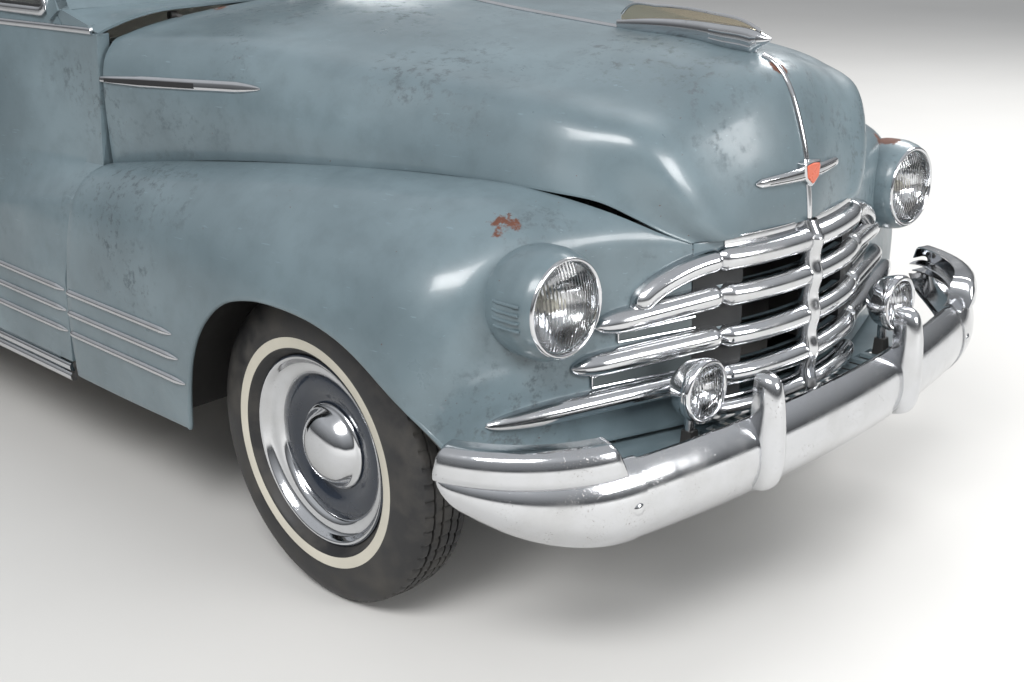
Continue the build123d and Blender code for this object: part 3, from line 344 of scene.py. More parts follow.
def build_wheel(end, name, side):
    """One wheel with its tyre; end is front or rear, side is 1 on the left and -1 on the right."""
    axle_x, half_track = AXLES[end]
    body = f"wheel_{end}_{name}"
    place = (axle_x, side * half_track, AXLE_Z)
    out = (0, side, 0)
    profile = tyre_profile()
    tyre = lathe(f"tyre_{end}_{name}_tread", profile, place, out, [RUBBER, WHITEWALL], steps=TREAD_STEPS,
                 body=body, slot="tyre_rubber")
    centre = np.array(place) * MM
    mesh = tyre.data
    coords = np.empty(len(mesh.vertices) * 3)
    mesh.vertices.foreach_get("co", coords)
    coords = coords.reshape(-1, 3)
    off = coords - centre
    radius = np.hypot(off[:, 0], off[:, 2])
    angle = np.arctan2(off[:, 2], off[:, 0])
    across = np.abs(off[:, 1]) / MM
    lugs = radius > TREAD_R
    step = np.round(angle / (2 * math.pi) * TREAD_STEPS).astype(int)
    cut = np.where((step + (across > 30) * 2) % LUG_STEPS == 0, 1.0, 0.0)
    depth = np.where(across > 50, SHOULDER_CUT, TREAD_CUT) * cut * lugs
    coords[:, 0] -= off[:, 0] / radius * depth
    coords[:, 2] -= off[:, 2] / radius * depth
    mesh.vertices.foreach_set("co", coords.ravel())
    for face in mesh.polygons:
        middle = np.mean([off[v] for v in face.vertices], axis=0)
        r = math.hypot(middle[0], middle[2])
        if WHITE_BAND[0] < r < WHITE_BAND[1] and middle[1] * side > 0:
            face.material_index = 1
    mesh.update()
    shade(tyre, 40)
    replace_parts(tyre, f"tyre_{end}_{name}")
    rim = rounded([(205, -60), (216, -60), (217, -55), (206, -51), (203, -38), (172, -30), (170, 6),
                   (178, 30), (200, 36), (204, 44), (213, 52), (218, 56), (218.5, 59.5), (214, 60.5)], 5, 3,
                  False)
    trim = rounded([(214, 61.5), (209, 60), (203, 52), (198, 45), (190, 41.5), (180, 40), (172, 36),
                    (167, 30), (165, 24)], 5, 3, False)
    disc = rounded([(166, 24), (150, 29), (132, 28), (112, 20), (96, 15), (60, 15), (0.5, 15)], 10, 3, False)
    cap = rounded([(98, 16), (100, 19), (97, 23), (90, 26), (84, 34), (74, 47), (58, 58), (40, 65), (20, 68),
                   (0.5, 69)], 8, 3, False)
    drum = rounded([(19.2, -39), (100, -39), (140, -36), (145, -28), (145, 8), (160, 14)], 6, 3, False)
    parts = (("rim", rim, WHEEL_BLUE, 72), ("trim", trim, CLEAN_CHROME, 96), ("disc", disc, WHEEL_BLUE, 72),
             ("cap", cap, CLEAN_CHROME, 96), ("drum", drum, CHASSIS, 64))
    pieces = [lathe(f"{part}_{end}_{name}", outline, place, out, coat, steps=steps, body=body,
                    slot="wheel_steel") for part, outline, coat, steps in parts]
    whole = join(f"wheel_{end}_{name}_set", pieces)
    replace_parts(whole, f"wheel_{end}_{name}")


for axle in AXLES:
    for side_name, sign in SIDES:
        build_wheel(axle, side_name, sign)


# Body shell: one welded steel skin from cowl to tail, lined with cloth inside and painted outside.
# Doors, windows, boot lid and rear wheel arches are pressed and cut out of it.
BODY_FRONT = 905.0
BODY_TAIL = -2385.0
# Radius of the rear wheel wells
REAR_WELL_R = 394.0
# Body stations: x, then (y, z) of sill, lower side, belt, upper side, roof rail, and crown height
BODY_ROWS = (
    (905, (884, 335), (868, 700), (790, 1195), (738, 1362), (634, 1486), 1540),
    (420, (886, 330), (870, 700), (795, 1196), (748, 1392), (642, 1562), 1660),
    (-150, (886, 330), (868, 700), (793, 1190), (742, 1390), (632, 1565), 1690),
    (-700, (880, 330), (860, 690), (775, 1168), (720, 1358), (605, 1522), 1655),
    (-1200, (862, 345), (838, 680), (735, 1105), (668, 1268), (542, 1402), 1532),
    (-1700, (800, 365), (772, 640), (655, 975), (585, 1108), (452, 1222), 1328),
    (-2150, (690, 400), (668, 585), (562, 800), (492, 892), (365, 972), 1042),
    (-2385, (575, 440), (560, 545), (470, 665), (405, 716), (300, 760), 792),
)
BODY_KEYS = np.array([[(x, y, z) for y, z in half] + [(x, 0, crown)] + [(x, -y, z) for y, z in half[::-1]]
                      for x, *half, crown in BODY_ROWS], float)
DOOR_OUTLINE = [(778, 372), (900, 1192), (745, 1192), (450, 1560), (-180, 1560), (-260, 1480), (-330, 1192),
                (-330, 372)]
QUARTER_WINDOW = [(-345, 1246), (-318, 1462), (-560, 1455), (-790, 1345), (-815, 1246)]
REAR_WINDOW = [(-1130, 34), (-1130, 300), (-1400, 330), (-1420, 34)]
BOOT_EDGE = [(-1560, 400), (-1760, 425), (-2050, 395), (-2230, 330), (-2320, 250)]
BOOT_OUTLINE = rounded(BOOT_EDGE + [(x, -y) for x, y in BOOT_EDGE[::-1]], 75, 6)


def lengths(points):
    """Distance along a line at each of its points."""
    steps = np.linalg.norm(np.diff(points, axis=0), axis=1)
    return np.concatenate([[0], np.cumsum(steps)])


def spaced(points, count):
    """The same line with its points evenly spaced."""
    points = np.asarray(points, float)
    run = lengths(points)
    at = np.linspace(0, run[-1], count)
    return np.stack([np.interp(at, run, points[:, i]) for i in range(points.shape[1])], 1)


def smooth(keys, rows, at):
    """Rows of numbers interpolated smoothly over their keys."""
    keys = np.asarray(keys, float)
    rows = np.asarray(rows, float)
    at = np.asarray(at, float)
    flat = rows.reshape(len(keys), -1)
    width = np.diff(keys)[:, None]
    slope = np.diff(flat, axis=0) / width
    lean = np.repeat(slope[:1], len(keys), axis=0)
    lean[1:-1] = (slope[:-1] * width[1:] + slope[1:] * width[:-1]) / (width[1:] + width[:-1])
    lean[0] = 1.5 * slope[0] - 0.5 * lean[1]
    lean[-1] = 1.5 * slope[-1] - 0.5 * lean[-2]
    cell = np.clip(np.searchsorted(keys, at, side="right") - 1, 0, len(keys) - 2)
    span = width[cell]
    t = ((at - keys[cell]) / span[:, 0])[:, None]
    out = (
        flat[cell] * (2 * t**3 - 3 * t**2 + 1)
        + lean[cell] * span * (t**3 - 2 * t**2 + t)
        + flat[cell + 1] * (3 * t**2 - 2 * t**3)
        + lean[cell + 1] * span * (t**3 - t**2)
    )
    return out.reshape((len(at),) + rows.shape[1:])


def looped(points, count):
    """Evenly spaced points round a closed line."""
    return spaced(np.concatenate([points, points[:1]]), count + 1)[:-1]


def bent(points, count):
    """Smooth line through a few points, evenly spaced."""
    points = np.asarray(points, float)
    run = lengths(points)
    return spaced(smooth(run, points, np.linspace(0, run[-1], count * 3)), count)


def mean_run(keys, axis):
    """Mean distance along a grid of guide points, one way or the other."""
    steps = np.linalg.norm(np.diff(keys, axis=axis), axis=-1)
    return np.concatenate([[0], np.cumsum(steps.mean(axis=1 - axis))])


def patch(keys, along, across):
    """Smooth grid through guide points. along and across are counts or lists of places from 0 to 1."""
    run = mean_run(keys, 0)
    wide = mean_run(keys, 1)
    along = np.linspace(0, 1, along) if isinstance(along, int) else np.asarray(along)
    across = np.linspace(0, 1, across) if isinstance(across, int) else np.asarray(across)
    rows = smooth(run, keys, along * run[-1])
    return smooth(wide, rows.transpose(1, 0, 2), across * wide[-1]).transpose(1, 0, 2)


def body_patch(first, last, low, high, rows, columns):
    """Grid of the body's surface between two stations and two shares of the way round."""
    run = mean_run(BODY_KEYS, 0)
    share = np.interp([-first, -last], -BODY_KEYS[:, 0, 0], run) / run[-1]
    return patch(BODY_KEYS, np.linspace(*share, rows), np.linspace(low, high, columns))


def drawn_in(points):
    """Body side led in towards the hood over its last half metre, between fender and window."""
    x = points[..., 0]
    z = points[..., 2]
    near = np.clip((x - 330) / 540, 0, 1)
    share = near * near * (3 - 2 * near) * np.clip((z - 740) / 130, 0, 1) * np.clip((1330 - z) / 100, 0, 1)
    out = points.copy()
    out[..., 1] -= np.sign(points[..., 1]) * share * np.maximum(np.abs(points[..., 1]) - 776, 0)
    return out


def settle(piece):
    """Turns the piece's modifiers into plain mesh."""
    graph = bpy.context.evaluated_depsgraph_get()
    mesh = bpy.data.meshes.new_from_object(piece.evaluated_get(graph))
    old = piece.data
    piece.modifiers.clear()
    piece.data = mesh
    bpy.data.meshes.remove(old)
    return piece


def thicken(piece, depth, edge, inner):
    """Gives a sheet its thickness on the side away from its normals, and rounds the rim."""
    shell = piece.modifiers.new("shell", "SOLIDIFY")
    shell.thickness = depth
    shell.offset = -1
    shell.use_even_offset = True
    shell.material_offset = inner
    if edge:
        rim = piece.modifiers.new("rim", "BEVEL")
        rim.width = edge
        rim.segments = 2
        rim.limit_method = "ANGLE"
        rim.angle_limit = math.radians(55)
    settle(piece)
    shade(piece)
    return piece


def sheet_piece(name, points, finish, inside=(0, 0, 500), depth=0.012, edge=0, **words):
    """Panel through a grid of points (rows, columns, 3) in millimetres, its face turned away from inside."""
    rows, columns = points.shape[:2]
    faces = grid_faces(rows, columns)
    corner = points[:-1, :-1]
    normals = np.cross(points[1:, :-1] - corner, points[:-1, 1:] - corner)
    if (normals * (corner - np.array(inside))).sum() < 0:
        faces = [face[::-1] for face in faces]
    piece = make(name, points.reshape(-1, 3) * MM, faces, finish, **words)
    return thicken(piece, depth, edge, len(piece.data.materials) - 1)


def block_from(points, count):
    """Closed cutting block from its first outline and its second."""
    faces = [tuple(range(count)), tuple(range(count, 2 * count))[::-1]]
    faces += [(i, (i + 1) % count, (i + 1) % count + count, i + count) for i in range(count)]
    mesh = bpy.data.meshes.new("cutter")
    mesh.from_pydata([tuple(MM * c for c in p) for p in points], [], faces)
    block = bpy.data.objects.new("cutter", mesh)
    bpy.context.collection.objects.link(block)
    outward(block)
    return block


def prism(outline, low, high, view="side"):
    """Cutting block with an outline in the side view (x, z) or in the plan (x, y)."""
    points = [(a, k, b) if view == "side" else (a, b, k) for k in sorted((low, high)) for a, b in outline]
    return block_from(points, len(outline))


def carve(piece, *cutters, keep=False):
    """Cuts blocks out of a closed piece, or keeps what lies in them."""
    for cutter in cutters:
        step = piece.modifiers.new("carve", "BOOLEAN")
        step.operation = "INTERSECT" if keep else "DIFFERENCE"
        step.solver = "EXACT"
        step.object = cutter
        settle(piece)
        bpy.data.objects.remove(cutter)
    shade(piece)
    return piece


def grown(outline, by):
    """Outline moved outwards by a distance."""
    spots = np.asarray(outline, float)
    turn = np.sign(sum(a[0] * b[1] - a[1] * b[0] for a, b in zip(spots, np.roll(spots, -1, 0))))
    out = []
    for i, spot in enumerate(spots):
        before = spot - spots[i - 1]
        after = spots[(i + 1) % len(spots)] - spot
        edges = [np.array([e[1], -e[0]]) / np.linalg.norm(e) * turn for e in (before, after)]
        way = (edges[0] + edges[1]) / np.linalg.norm(edges[0] + edges[1])
        out.append(spot + way * by / max(0.4, float(way @ edges[0])))
    return np.array(out)


# Windscreen planes
SCREEN_FOOT = np.array([860.0, 0.0, 1240.0])
SCREEN_RAKE = np.array([-230.0, 0.0, 335.0]) / math.hypot(230, 335)
SCREEN_SWEEP = 0.16


def screen_axes(side):
    """Outward and forward directions of one windscreen plane."""
    across = np.array([-SCREEN_SWEEP, side, 0.0]) / math.hypot(SCREEN_SWEEP, 1)
    normal = np.cross(across, SCREEN_RAKE)
    normal /= np.linalg.norm(normal)
    return across, normal if normal[0] > 0 else -normal


def on_screen(side, u, v, depth=0.0):
    """Place on one windscreen plane: u outwards, v upwards, depth behind it."""
    across, normal = screen_axes(side)
    return SCREEN_FOOT + across * u + SCREEN_RAKE * v - normal * depth


def screen_block(side, outline, low, high):
    """Cutting block with an outline on one windscreen plane."""
    return block_from([on_screen(side, u, v, d) for d in (low, high) for u, v in outline], len(outline))


# Bare, rusted patches of the paint: place and radius in metres
RUST_SPOTS = (
    ((2.10, -0.625, 0.885), 0.034),
    ((2.075, -0.60, 0.893), 0.02),
    ((2.285, 0.0, 1.14), 0.018),
    ((0.93, -0.45, 1.20), 0.03),
    ((0.92, -0.2, 1.235), 0.024),
    ((1.0, -0.70, 0.93), 0.018),
    ((2.19, 0.61, 0.88), 0.03),
    ((1.1, 0.0, 1.245), 0.03),
)


def old_paint(name, colour):
    """Sixty-year-old enamel: chalky where the sun took it, worn to dark primer, with rust at its edges."""
    look = Look(name, colour, 0.4)
    light = tuple(min(1.0, c * 1.22 + 0.015) for c in colour)
    dark = tuple(c * 0.78 for c in colour)
    cloud = look.noise(2.2, 3.0, 0.5)
    paint = look.mix(look.ramp(cloud, (0.32, 0.0), (0.68, 1.0)), dark, light)
    mottle = look.noise(16.0, 6.0, 0.62)
    paint = look.mix(look.ramp(mottle, (0.45, 0.0), (0.75, 0.35)), paint, tuple(c * 0.6 for c in colour))
    rub = look.sum("MULTIPLY", look.ramp(look.noise(2.9, 2.0, 0.5), (0.52, 0.0), (0.68, 1.0)),
                   look.ramp(look.noise(34.0, 8.0, 0.72), (0.52, 0.0), (0.64, 1.0)))
    paint = look.mix(look.sum("MULTIPLY", rub, 0.62), paint, (0.045, 0.05, 0.055))
    scratch = look.ramp(look.noise(60.0, 3.0, 0.5, stretch=(0.25, 1.0, 3.0)), (0.70, 0.0), (0.74, 0.6))
    paint = look.mix(scratch, paint, tuple(c * 1.5 for c in colour))
    chip = look.ramp(look.noise(95.0, 3.0, 0.6), (0.735, 0.0), (0.76, 1.0))
    paint = look.mix(chip, paint, (0.085, 0.035, 0.02))
    rust_shade = look.mix(look.noise(70.0, 4.0), (0.06, 0.024, 0.016), (0.15, 0.052, 0.028))
    rust = None
    for centre, radius in RUST_SPOTS:
        bare = look.spot(centre, radius)
        rust = bare if rust is None else look.sum("MAXIMUM", rust, bare)
    paint = look.mix(rust, paint, rust_shade)
    rough = look.ramp(look.noise(7.0, 5.0, 0.6), (0.3, 0.27), (0.7, 0.47))
    rough = look.mix(look.sum("MAXIMUM", rub, rust), rough, (0.75, 0.75, 0.75))
    peel = look.bump(look.noise(420.0, 2.0, 0.5), 0.06, 0.0006)
    coat = look.sum("MULTIPLY", look.sum("SUBTRACT", 1.0, look.sum("MAXIMUM", rub, rust)), 0.35)
    look.set(Base_Color=paint, Roughness=rough, Normal=look.bump(rust, 0.3, 0.0006, peel), Coat_Weight=coat,
             Coat_Roughness=0.12)
    return look.material


PAINT = old_paint("faded_blue_enamel", (0.118, 0.162, 0.182))


def cloth(name, colour, second):
    """Woven cloth with a stripe across the car."""
    look = Look(name, colour, 0.9)
    weave = look.node("ShaderNodeTexWave", Scale=260.0, Distortion=2.0, Detail=2.0)
    look.tree.links.new(look.place, weave.inputs["Vector"])
    across = look.node("ShaderNodeTexWave", Scale=260.0, Distortion=2.0, Detail=2.0)
    across.bands_direction = "Y"
    look.tree.links.new(look.place, across.inputs["Vector"])
    height = look.sum("MULTIPLY", weave.outputs["Fac"], across.outputs["Fac"])
    stripe = look.ramp(look.sum("PINGPONG",
                                look.node("ShaderNodeSeparateXYZ", Vector=look.place).outputs["Y"], 0.03),
                       (0.3, 0.0), (0.34, 1.0))
    tone = look.mix(stripe, colour, second)
    tone = look.mix(look.ramp(look.noise(6.0, 5.0), (0.4, 0.0), (0.7, 0.5)), tone,
                    tuple(c * 0.7 for c in colour))
    look.set(Base_Color=tone, Roughness=0.92, Sheen_Weight=0.25, Normal=look.bump(height, 0.4, 0.0008))
    return look.material


LINING = cloth("lining_cloth", (0.3, 0.285, 0.25), (0.27, 0.26, 0.23))


def build_shell():
    grid = drawn_in(body_patch(BODY_FRONT, BODY_TAIL, 0.0, 1.0, 134, 145))
    shell = sheet_piece("body_skin", grid, [PAINT, LINING], inside=(-600, 0, 800), depth=0.024)
    cutters = [prism([(700, 0), (2000, 0), (2000, 425), (700, 425)], -1500, 1500)]
    cutters.append(prism(grown(BOOT_OUTLINE, 6), 560, 1800, "plan"))
    wide = [(860 - SCREEN_SWEEP * 1000, 1000), (860, 0), (860 - SCREEN_SWEEP * 1000, -1000), (1100, -1000),
            (1100, 1000)]
    cutters.append(prism(wide, 1239, 2000, "plan"))
    cutters.append(prism([(864, 1180), (1000, 1180), (1000, 1300), (864, 1300)], -1500, 1500))
    for side in (1, -1):
        cutters.append(prism(grown(DOOR_OUTLINE, 6), side * 500, side * 1100))
        cutters.append(prism(rounded(QUARTER_WINDOW, 36), side * 500, side * 1100))
        cutters.append(prism(rounded([(x, side * y) for x, y in REAR_WINDOW], 40), 1300, 1800, "plan"))
        cutters.append(screen_block(side, [(-150, -4), (1100, -4), (1100, 700), (-150, 700)], -700, 0))
        cutters.append(prism([(745, 1240), (905, 1200), (2000, 1200), (2000, 1300), (745, 1300)], side * 600,
                             side * 1500))
        cutters.append(prism([(772, 0), (2000, 0), (2000, 1198), (772, 1198)], side * 690, side * 1500))
        radius = REAR_WELL_R + 1
        well = [(REAR_AXLE_X + radius * math.cos(t), AXLE_Z + radius * math.sin(t))
                for t in np.linspace(0, math.pi, 40)]
        cutters.append(prism([(-880, 0)] + well + [(-1670, 0)], side * 640, side * 1100))
    carve(shell, *cutters)
    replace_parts(shell, "body_shell")


build_shell()


# Tail panel: flat steel pressing that closes the shell under the boot lid.
# It is welded in along its rim, and two pressed ribs stiffen it.


def circle(radius, steps=16, flat=1.0):
    """Round or oval section."""
    turn = np.linspace(0, 2 * math.pi, steps, endpoint=False)
    return np.stack([np.cos(turn) * radius, np.sin(turn) * radius * flat], 1)


def tube_faces(rows, columns):
    """Faces of a tube of rows, and of its two flat ends."""
    faces = grid_faces(rows, columns, wrap_columns=True)
    return faces + [tuple(range(columns)), tuple(range((rows - 1) * columns, rows * columns))[::-1]]


def sweep(name, path, section, finish, up=(0, 0, 1), size=None, **words):
    """Bar along a line. section has (sideways, up) pairs in millimetres; size scales it at each point."""
    path = np.asarray(path, float)
    count = len(path)
    along = np.gradient(path, axis=0)
    along /= np.linalg.norm(along, axis=1)[:, None]
    up = np.broadcast_to(np.asarray(up, float), path.shape)
    side = np.cross(along, up)
    side /= np.linalg.norm(side, axis=1)[:, None]
    top = np.cross(side, along)
    section = np.asarray(section, float)
    if size is None:
        size = np.ones(count)
    size = np.asarray(size, float).reshape(count, -1) * np.ones((1, 2))
    points = (
        path[:, None]
        + side[:, None] * (section[:, 0][None] * size[:, :1])[..., None]
        + top[:, None] * (section[:, 1][None] * size[:, 1:])[..., None]
    )
    return solid(name, points, tube_faces(count, len(section)), finish, **words)


def build_tail_panel():
    rim = body_patch(BODY_TAIL + 1, BODY_TAIL, 0.0, 1.0, 2, 121)[1]
    foot = rim[-1] + (rim[0] - rim[-1]) * np.linspace(0, 1, 42)[1:-1, None]
    rim = np.concatenate([rim, foot, rim[:1]])
    middle = np.array([BODY_TAIL, 0, 560.0])
    rows = np.array([middle + (rim - middle) * k for k in np.linspace(1, 0.01, 16)])
    sheet_piece("tail_panel", rows, [PAINT, CHASSIS], inside=(0, 0, 560), depth=0.006)
    for level in (470, 500):
        line = np.array([(BODY_TAIL - 1, y, level) for y in np.linspace(-330, 330, 12)])
        sweep(f"tail_rib_{level}", line, circle(3, 8), PAINT)


build_tail_panel()


# Windscreen: two flat panes in a painted steel frame, held by rubber under a bright strip.
# The pressed cowl in front of it carries the pivots of two chromed wipers.
SCREEN_PANE = ((24, 42), (655, 50), (588, 360), (24, 378))
SEAL = plain("window_rubber", (0.014, 0.014, 0.015), 0.6)


def ring(name, path, section, finish, up=(0, 1, 0), **words):
    """Closed bar along a loop."""
    path = np.asarray(path, float)
    along = np.roll(path, -1, 0) - np.roll(path, 1, 0)
    along /= np.linalg.norm(along, axis=1)[:, None]
    side = np.cross(along, np.broadcast_to(np.asarray(up, float), path.shape))
    side /= np.linalg.norm(side, axis=1)[:, None]
    top = np.cross(side, along)
    section = np.asarray(section, float)
    points = path[:, None] + side[:, None] * section[None, :, :1] + top[:, None] * section[None, :, 1:]
    return solid(name, points, grid_faces(len(path), len(section), True, True), finish, **words)


def bar_outline(wide, low, high, radius, steps=4):
    """Rectangular section with rounded corners, wide to either side of its line."""
    return rounded([(-wide, low), (wide, low), (wide, high), (-wide, high)], radius, steps)


def body_solid():
    """Closed block with the body's outer shape."""
    rows = 70
    columns = 81
    grid = body_patch(BODY_FRONT, BODY_TAIL, 0.0, 1.0, rows, columns)
    faces = grid_faces(rows, columns)
    faces += [(i, i + columns - 1, i + 2 * columns - 1, i + columns)
              for i in range(0, (rows - 1) * columns, columns)]
    faces += [tuple(range(columns)), tuple(range((rows - 1) * columns, rows * columns))[::-1]]
    return grid, faces


def build_screen_frame():
    for name, side in SIDES:
        grid, faces = body_solid()
        plate = make(f"screen_frame_{name}", grid.reshape(-1, 3) * MM, faces, PAINT)
        outward(plate)
        outline = [(0, -3), (1000, -3), (1000, 600), (0, 600)]
        carve(plate, screen_block(side, outline, 0, 46), keep=True)
        carve(plate, screen_block(side, rounded(SCREEN_PANE, 45), -50, 100))
        loop = looped(rounded(SCREEN_PANE, 45, 6), 120)
        normal = screen_axes(side)[1]
        path = np.array([on_screen(side, u, v, 3) for u, v in loop])
        ring(f"screen_seal_{name}", path, bar_outline(16, -8, 4, 4), SEAL, up=normal, slot="tyre_rubber")
        ring(f"screen_trim_{name}", path, bar_outline(5, 2, 6.5, 2), CLEAN_CHROME, up=normal)
        path = np.array([on_screen(side, u, v, 24) for u, v in loop])
        ring(f"screen_lining_{name}", path, rounded([(-18, -26), (6, -26), (6, 10), (-18, 10)], 4), LINING,
             up=normal, slot="seat_cloth")
        wiper = [on_screen(side, u, v, -10) for u, v in ((170, 30), (330, 92), (500, 158))]
        sweep(f"wiper_arm_{name}", bent(wiper[:2], 8), circle(3.5, 8), CLEAN_CHROME, up=normal)
        sweep(f"wiper_blade_{name}",
              bent([w - normal * 3 for w in (on_screen(side, 210, 46, -10), wiper[1], wiper[2])], 20),
              bar_outline(2.5, -9, 5, 1), SEAL, up=normal, slot="chrome_trim")
        lathe(f"wiper_pivot_{name}", [(0.3, 16), (8, 13), (10, 0), (10, -8)], wiper[0] + normal * -4,
              tuple(normal), CLEAN_CHROME, steps=20)
    rows = []
    for y in np.linspace(-774, 774, 90):
        foot = 856 - SCREEN_SWEEP * abs(y)
        edge = np.clip((abs(y) - 560) / 214, 0, 1) ** 2
        rows.append([(foot + (903 - foot) * k, y, 1238 - 3 * k - 40 * edge * k)
                     for k in np.linspace(-0.3, 1, 14)])
    cowl = np.array(rows)
    cowl[:, :, 2] = np.minimum(cowl[:, :, 2], 1238)
    sheet_piece("cowl_top", cowl, PAINT, inside=(800, 0, 0), depth=0.006)


build_screen_frame()


# Body trim: bright rolled strips, clipped along belt and rocker and round the quarter windows.
# Rubber holds the rear and quarter glass, and painted drip rails are welded over the doors.
SIDE_GRID = body_patch(BODY_FRONT, BODY_TAIL, 0.0, 0.5, 160, 120)


def skin_y(grid, x, z):
    """Half width of a skin's grid at a place in the side view."""
    stations = grid[:, 0, 0]
    at = float(np.interp(-x, -stations, np.arange(len(stations))))
    first = min(int(at), len(stations) - 2)
    pair = [np.interp(z, grid[k, :, 2], grid[k, :, 1]) for k in (first, first + 1)]
    return pair[0] + (pair[1] - pair[0]) * (at - first)


def body_y(x, z):
    """Half width of the body's side."""
    return skin_y(SIDE_GRID, x, z)


def roof_z(x, y):
    """Height of the body's top at a place in the plan."""
    stations = SIDE_GRID[:, 0, 0]
    at = float(np.interp(-x, -stations, np.arange(len(stations))))
    first = min(int(at), len(stations) - 2)
    heights = [np.interp(-y, -SIDE_GRID[k, 40:, 1], SIDE_GRID[k, 40:, 2]) for k in (first, first + 1)]
    return heights[0] + (heights[1] - heights[0]) * (at - first)


def loop_on_side(outline, radius, count, out):
    """Closed line round an outline in the side view, laid on the body's left side."""
    spots = looped(rounded(outline, radius, 6), count)
    return np.array([(x, body_y(x, z) + out, z) for x, z in spots])


def moulding(wide, low, shoulder, crest, high, radius):
    """Section of a pressed strip: flat back, upright sides, and a narrower crest."""
    return rounded([(-wide, low), (wide, low), (wide, shoulder), (crest, high), (-crest, high),
                    (-wide, shoulder)], radius)


TRIM = moulding(7, -2, 3, 3, 6, 2)


def build_shell_trim():
    for name, side in SIDES:
        turn = np.array([1, side, 1])
        frame_line = loop_on_side(grown(QUARTER_WINDOW, 8), 44, 110, 0.5) * turn
        ring(f"quarter_frame_{name}", frame_line, moulding(9, -3, 3, 4, 6, 3), CLEAN_CHROME, up=(0, side, 0))
        ring(f"quarter_seal_{name}", loop_on_side(QUARTER_WINDOW, 36, 110, -12) * turn, circle(6, 8), SEAL,
             up=(0, side, 0), slot="tyre_rubber")
        belt = [(x, 1196 - 0.00002 * (x + 330) ** 2) for x in np.linspace(-342, -1180, 50)]
        belt = np.array([(x, side * (body_y(x, z) + 0.5), z) for x, z in belt])
        sweep(f"quarter_belt_{name}", belt, TRIM, CLEAN_CHROME, up=(0, side, 0),
              size=np.linspace(1.2, 0.5, 50))
        drip = bent([(600, 1478), (440, 1572), (100, 1592), (-200, 1588), (-420, 1560), (-640, 1490),
                     (-800, 1400)], 60)
        drip = np.array([(x, side * (body_y(x, z) + 2), z) for x, z in drip])
        sweep(f"drip_rail_{name}", drip, bar_outline(5, -4, 6, 2), PAINT, up=(0, side, 0))
        for index, (drop, reach) in enumerate(((0, 6), (-26, 7))):
            rocker = [(x, side * (886 + reach * 0.4), 352 + drop) for x in np.linspace(765, -850, 60)]
            sweep(f"rocker_strip_{index}_{name}", rocker, moulding(11, -10, 2, 4, reach, 3), CLEAN_CHROME,
                  up=(0, side, 0))
        spots = looped(rounded([(x, side * y) for x, y in REAR_WINDOW], 40, 6), 90)
        path = np.array([(x, y, roof_z(x, abs(y)) + 1) for x, y in spots])
        ring(f"rear_window_trim_{name}", path, bar_outline(12, -6, 3, 3), SEAL, up=(0, 0, 1),
             slot="tyre_rubber")


build_shell_trim()


# Boot lid: double pressing of steel, painted outside and lined inside.
# Two chromed hinges lie outside along its upper edge, and a cast handle is screwed on near the lower one.


def build_boot():
    grid = body_patch(-1450, -2384.9, 0.3, 0.7, 70, 80)
    lid = sheet_piece("boot_skin", grid, [PAINT, LINING], inside=(-1500, 0, 500), depth=0.024,
                      body="boot_lid")
    carve(lid, prism(BOOT_OUTLINE, 560, 1800, "plan"), keep=True)
    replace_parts(lid, "boot_lid")
    for name, side in SIDES:
        y = side * 200
        z = roof_z(-1555, 200)
        arm = bent([(-1556, y, z + 14), (-1600, y, roof_z(-1600, 200) + 12),
                    (-1680, y, roof_z(-1680, 200) + 6)], 14)
        sweep(f"boot_hinge_{name}", arm, bar_outline(9, -8, 5, 3), CLEAN_CHROME, body="boot_lid",
              size=np.linspace(1.0, 0.6, 14))
    x = -2262
    z = roof_z(x, 0)
    handle = bent([(x + 26, -4, z + 10), (x + 8, 0, z + 24), (x - 22, 0, z + 8), (x - 44, 0, z - 26)], 18)
    sweep("boot_handle", handle, circle(9, 14), CLEAN_CHROME, up=(0, 1, 0), body="boot_lid")


build_boot()


# Rear fenders: deep steel pressings bolted to the body, with a rolled lip round the wheel arch.
# A liner and an apron close each wheel well off from the cabin.
#
# Rear fender: x, then (y, z) of inner top, crown, shoulder, side and foot
REAR_FENDER_ROWS = (
    (-470, (780, 640), (835, 632), (868, 590), (878, 480), (876, 345)),
    (-800, (740, 800), (840, 786), (896, 710), (917, 560), (902, 340)),
    (-1275, (690, 862), (820, 846), (902, 752), (933, 580), (920, 345)),
    (-1750, (600, 800), (770, 786), (868, 700), (900, 560), (885, 375)),
    (-2100, (480, 690), (650, 678), (745, 622), (775, 540), (765, 430)),
    (-2240, (440, 610), (560, 600), (625, 572), (645, 520), (635, 460)),
)
REAR_ARCH = ((-345, 200), (-341, 420), (-300, 520), (-225, 596), (-120, 645), (0, 660), (120, 645),
             (225, 596), (300, 520), (341, 420), (345, 200))


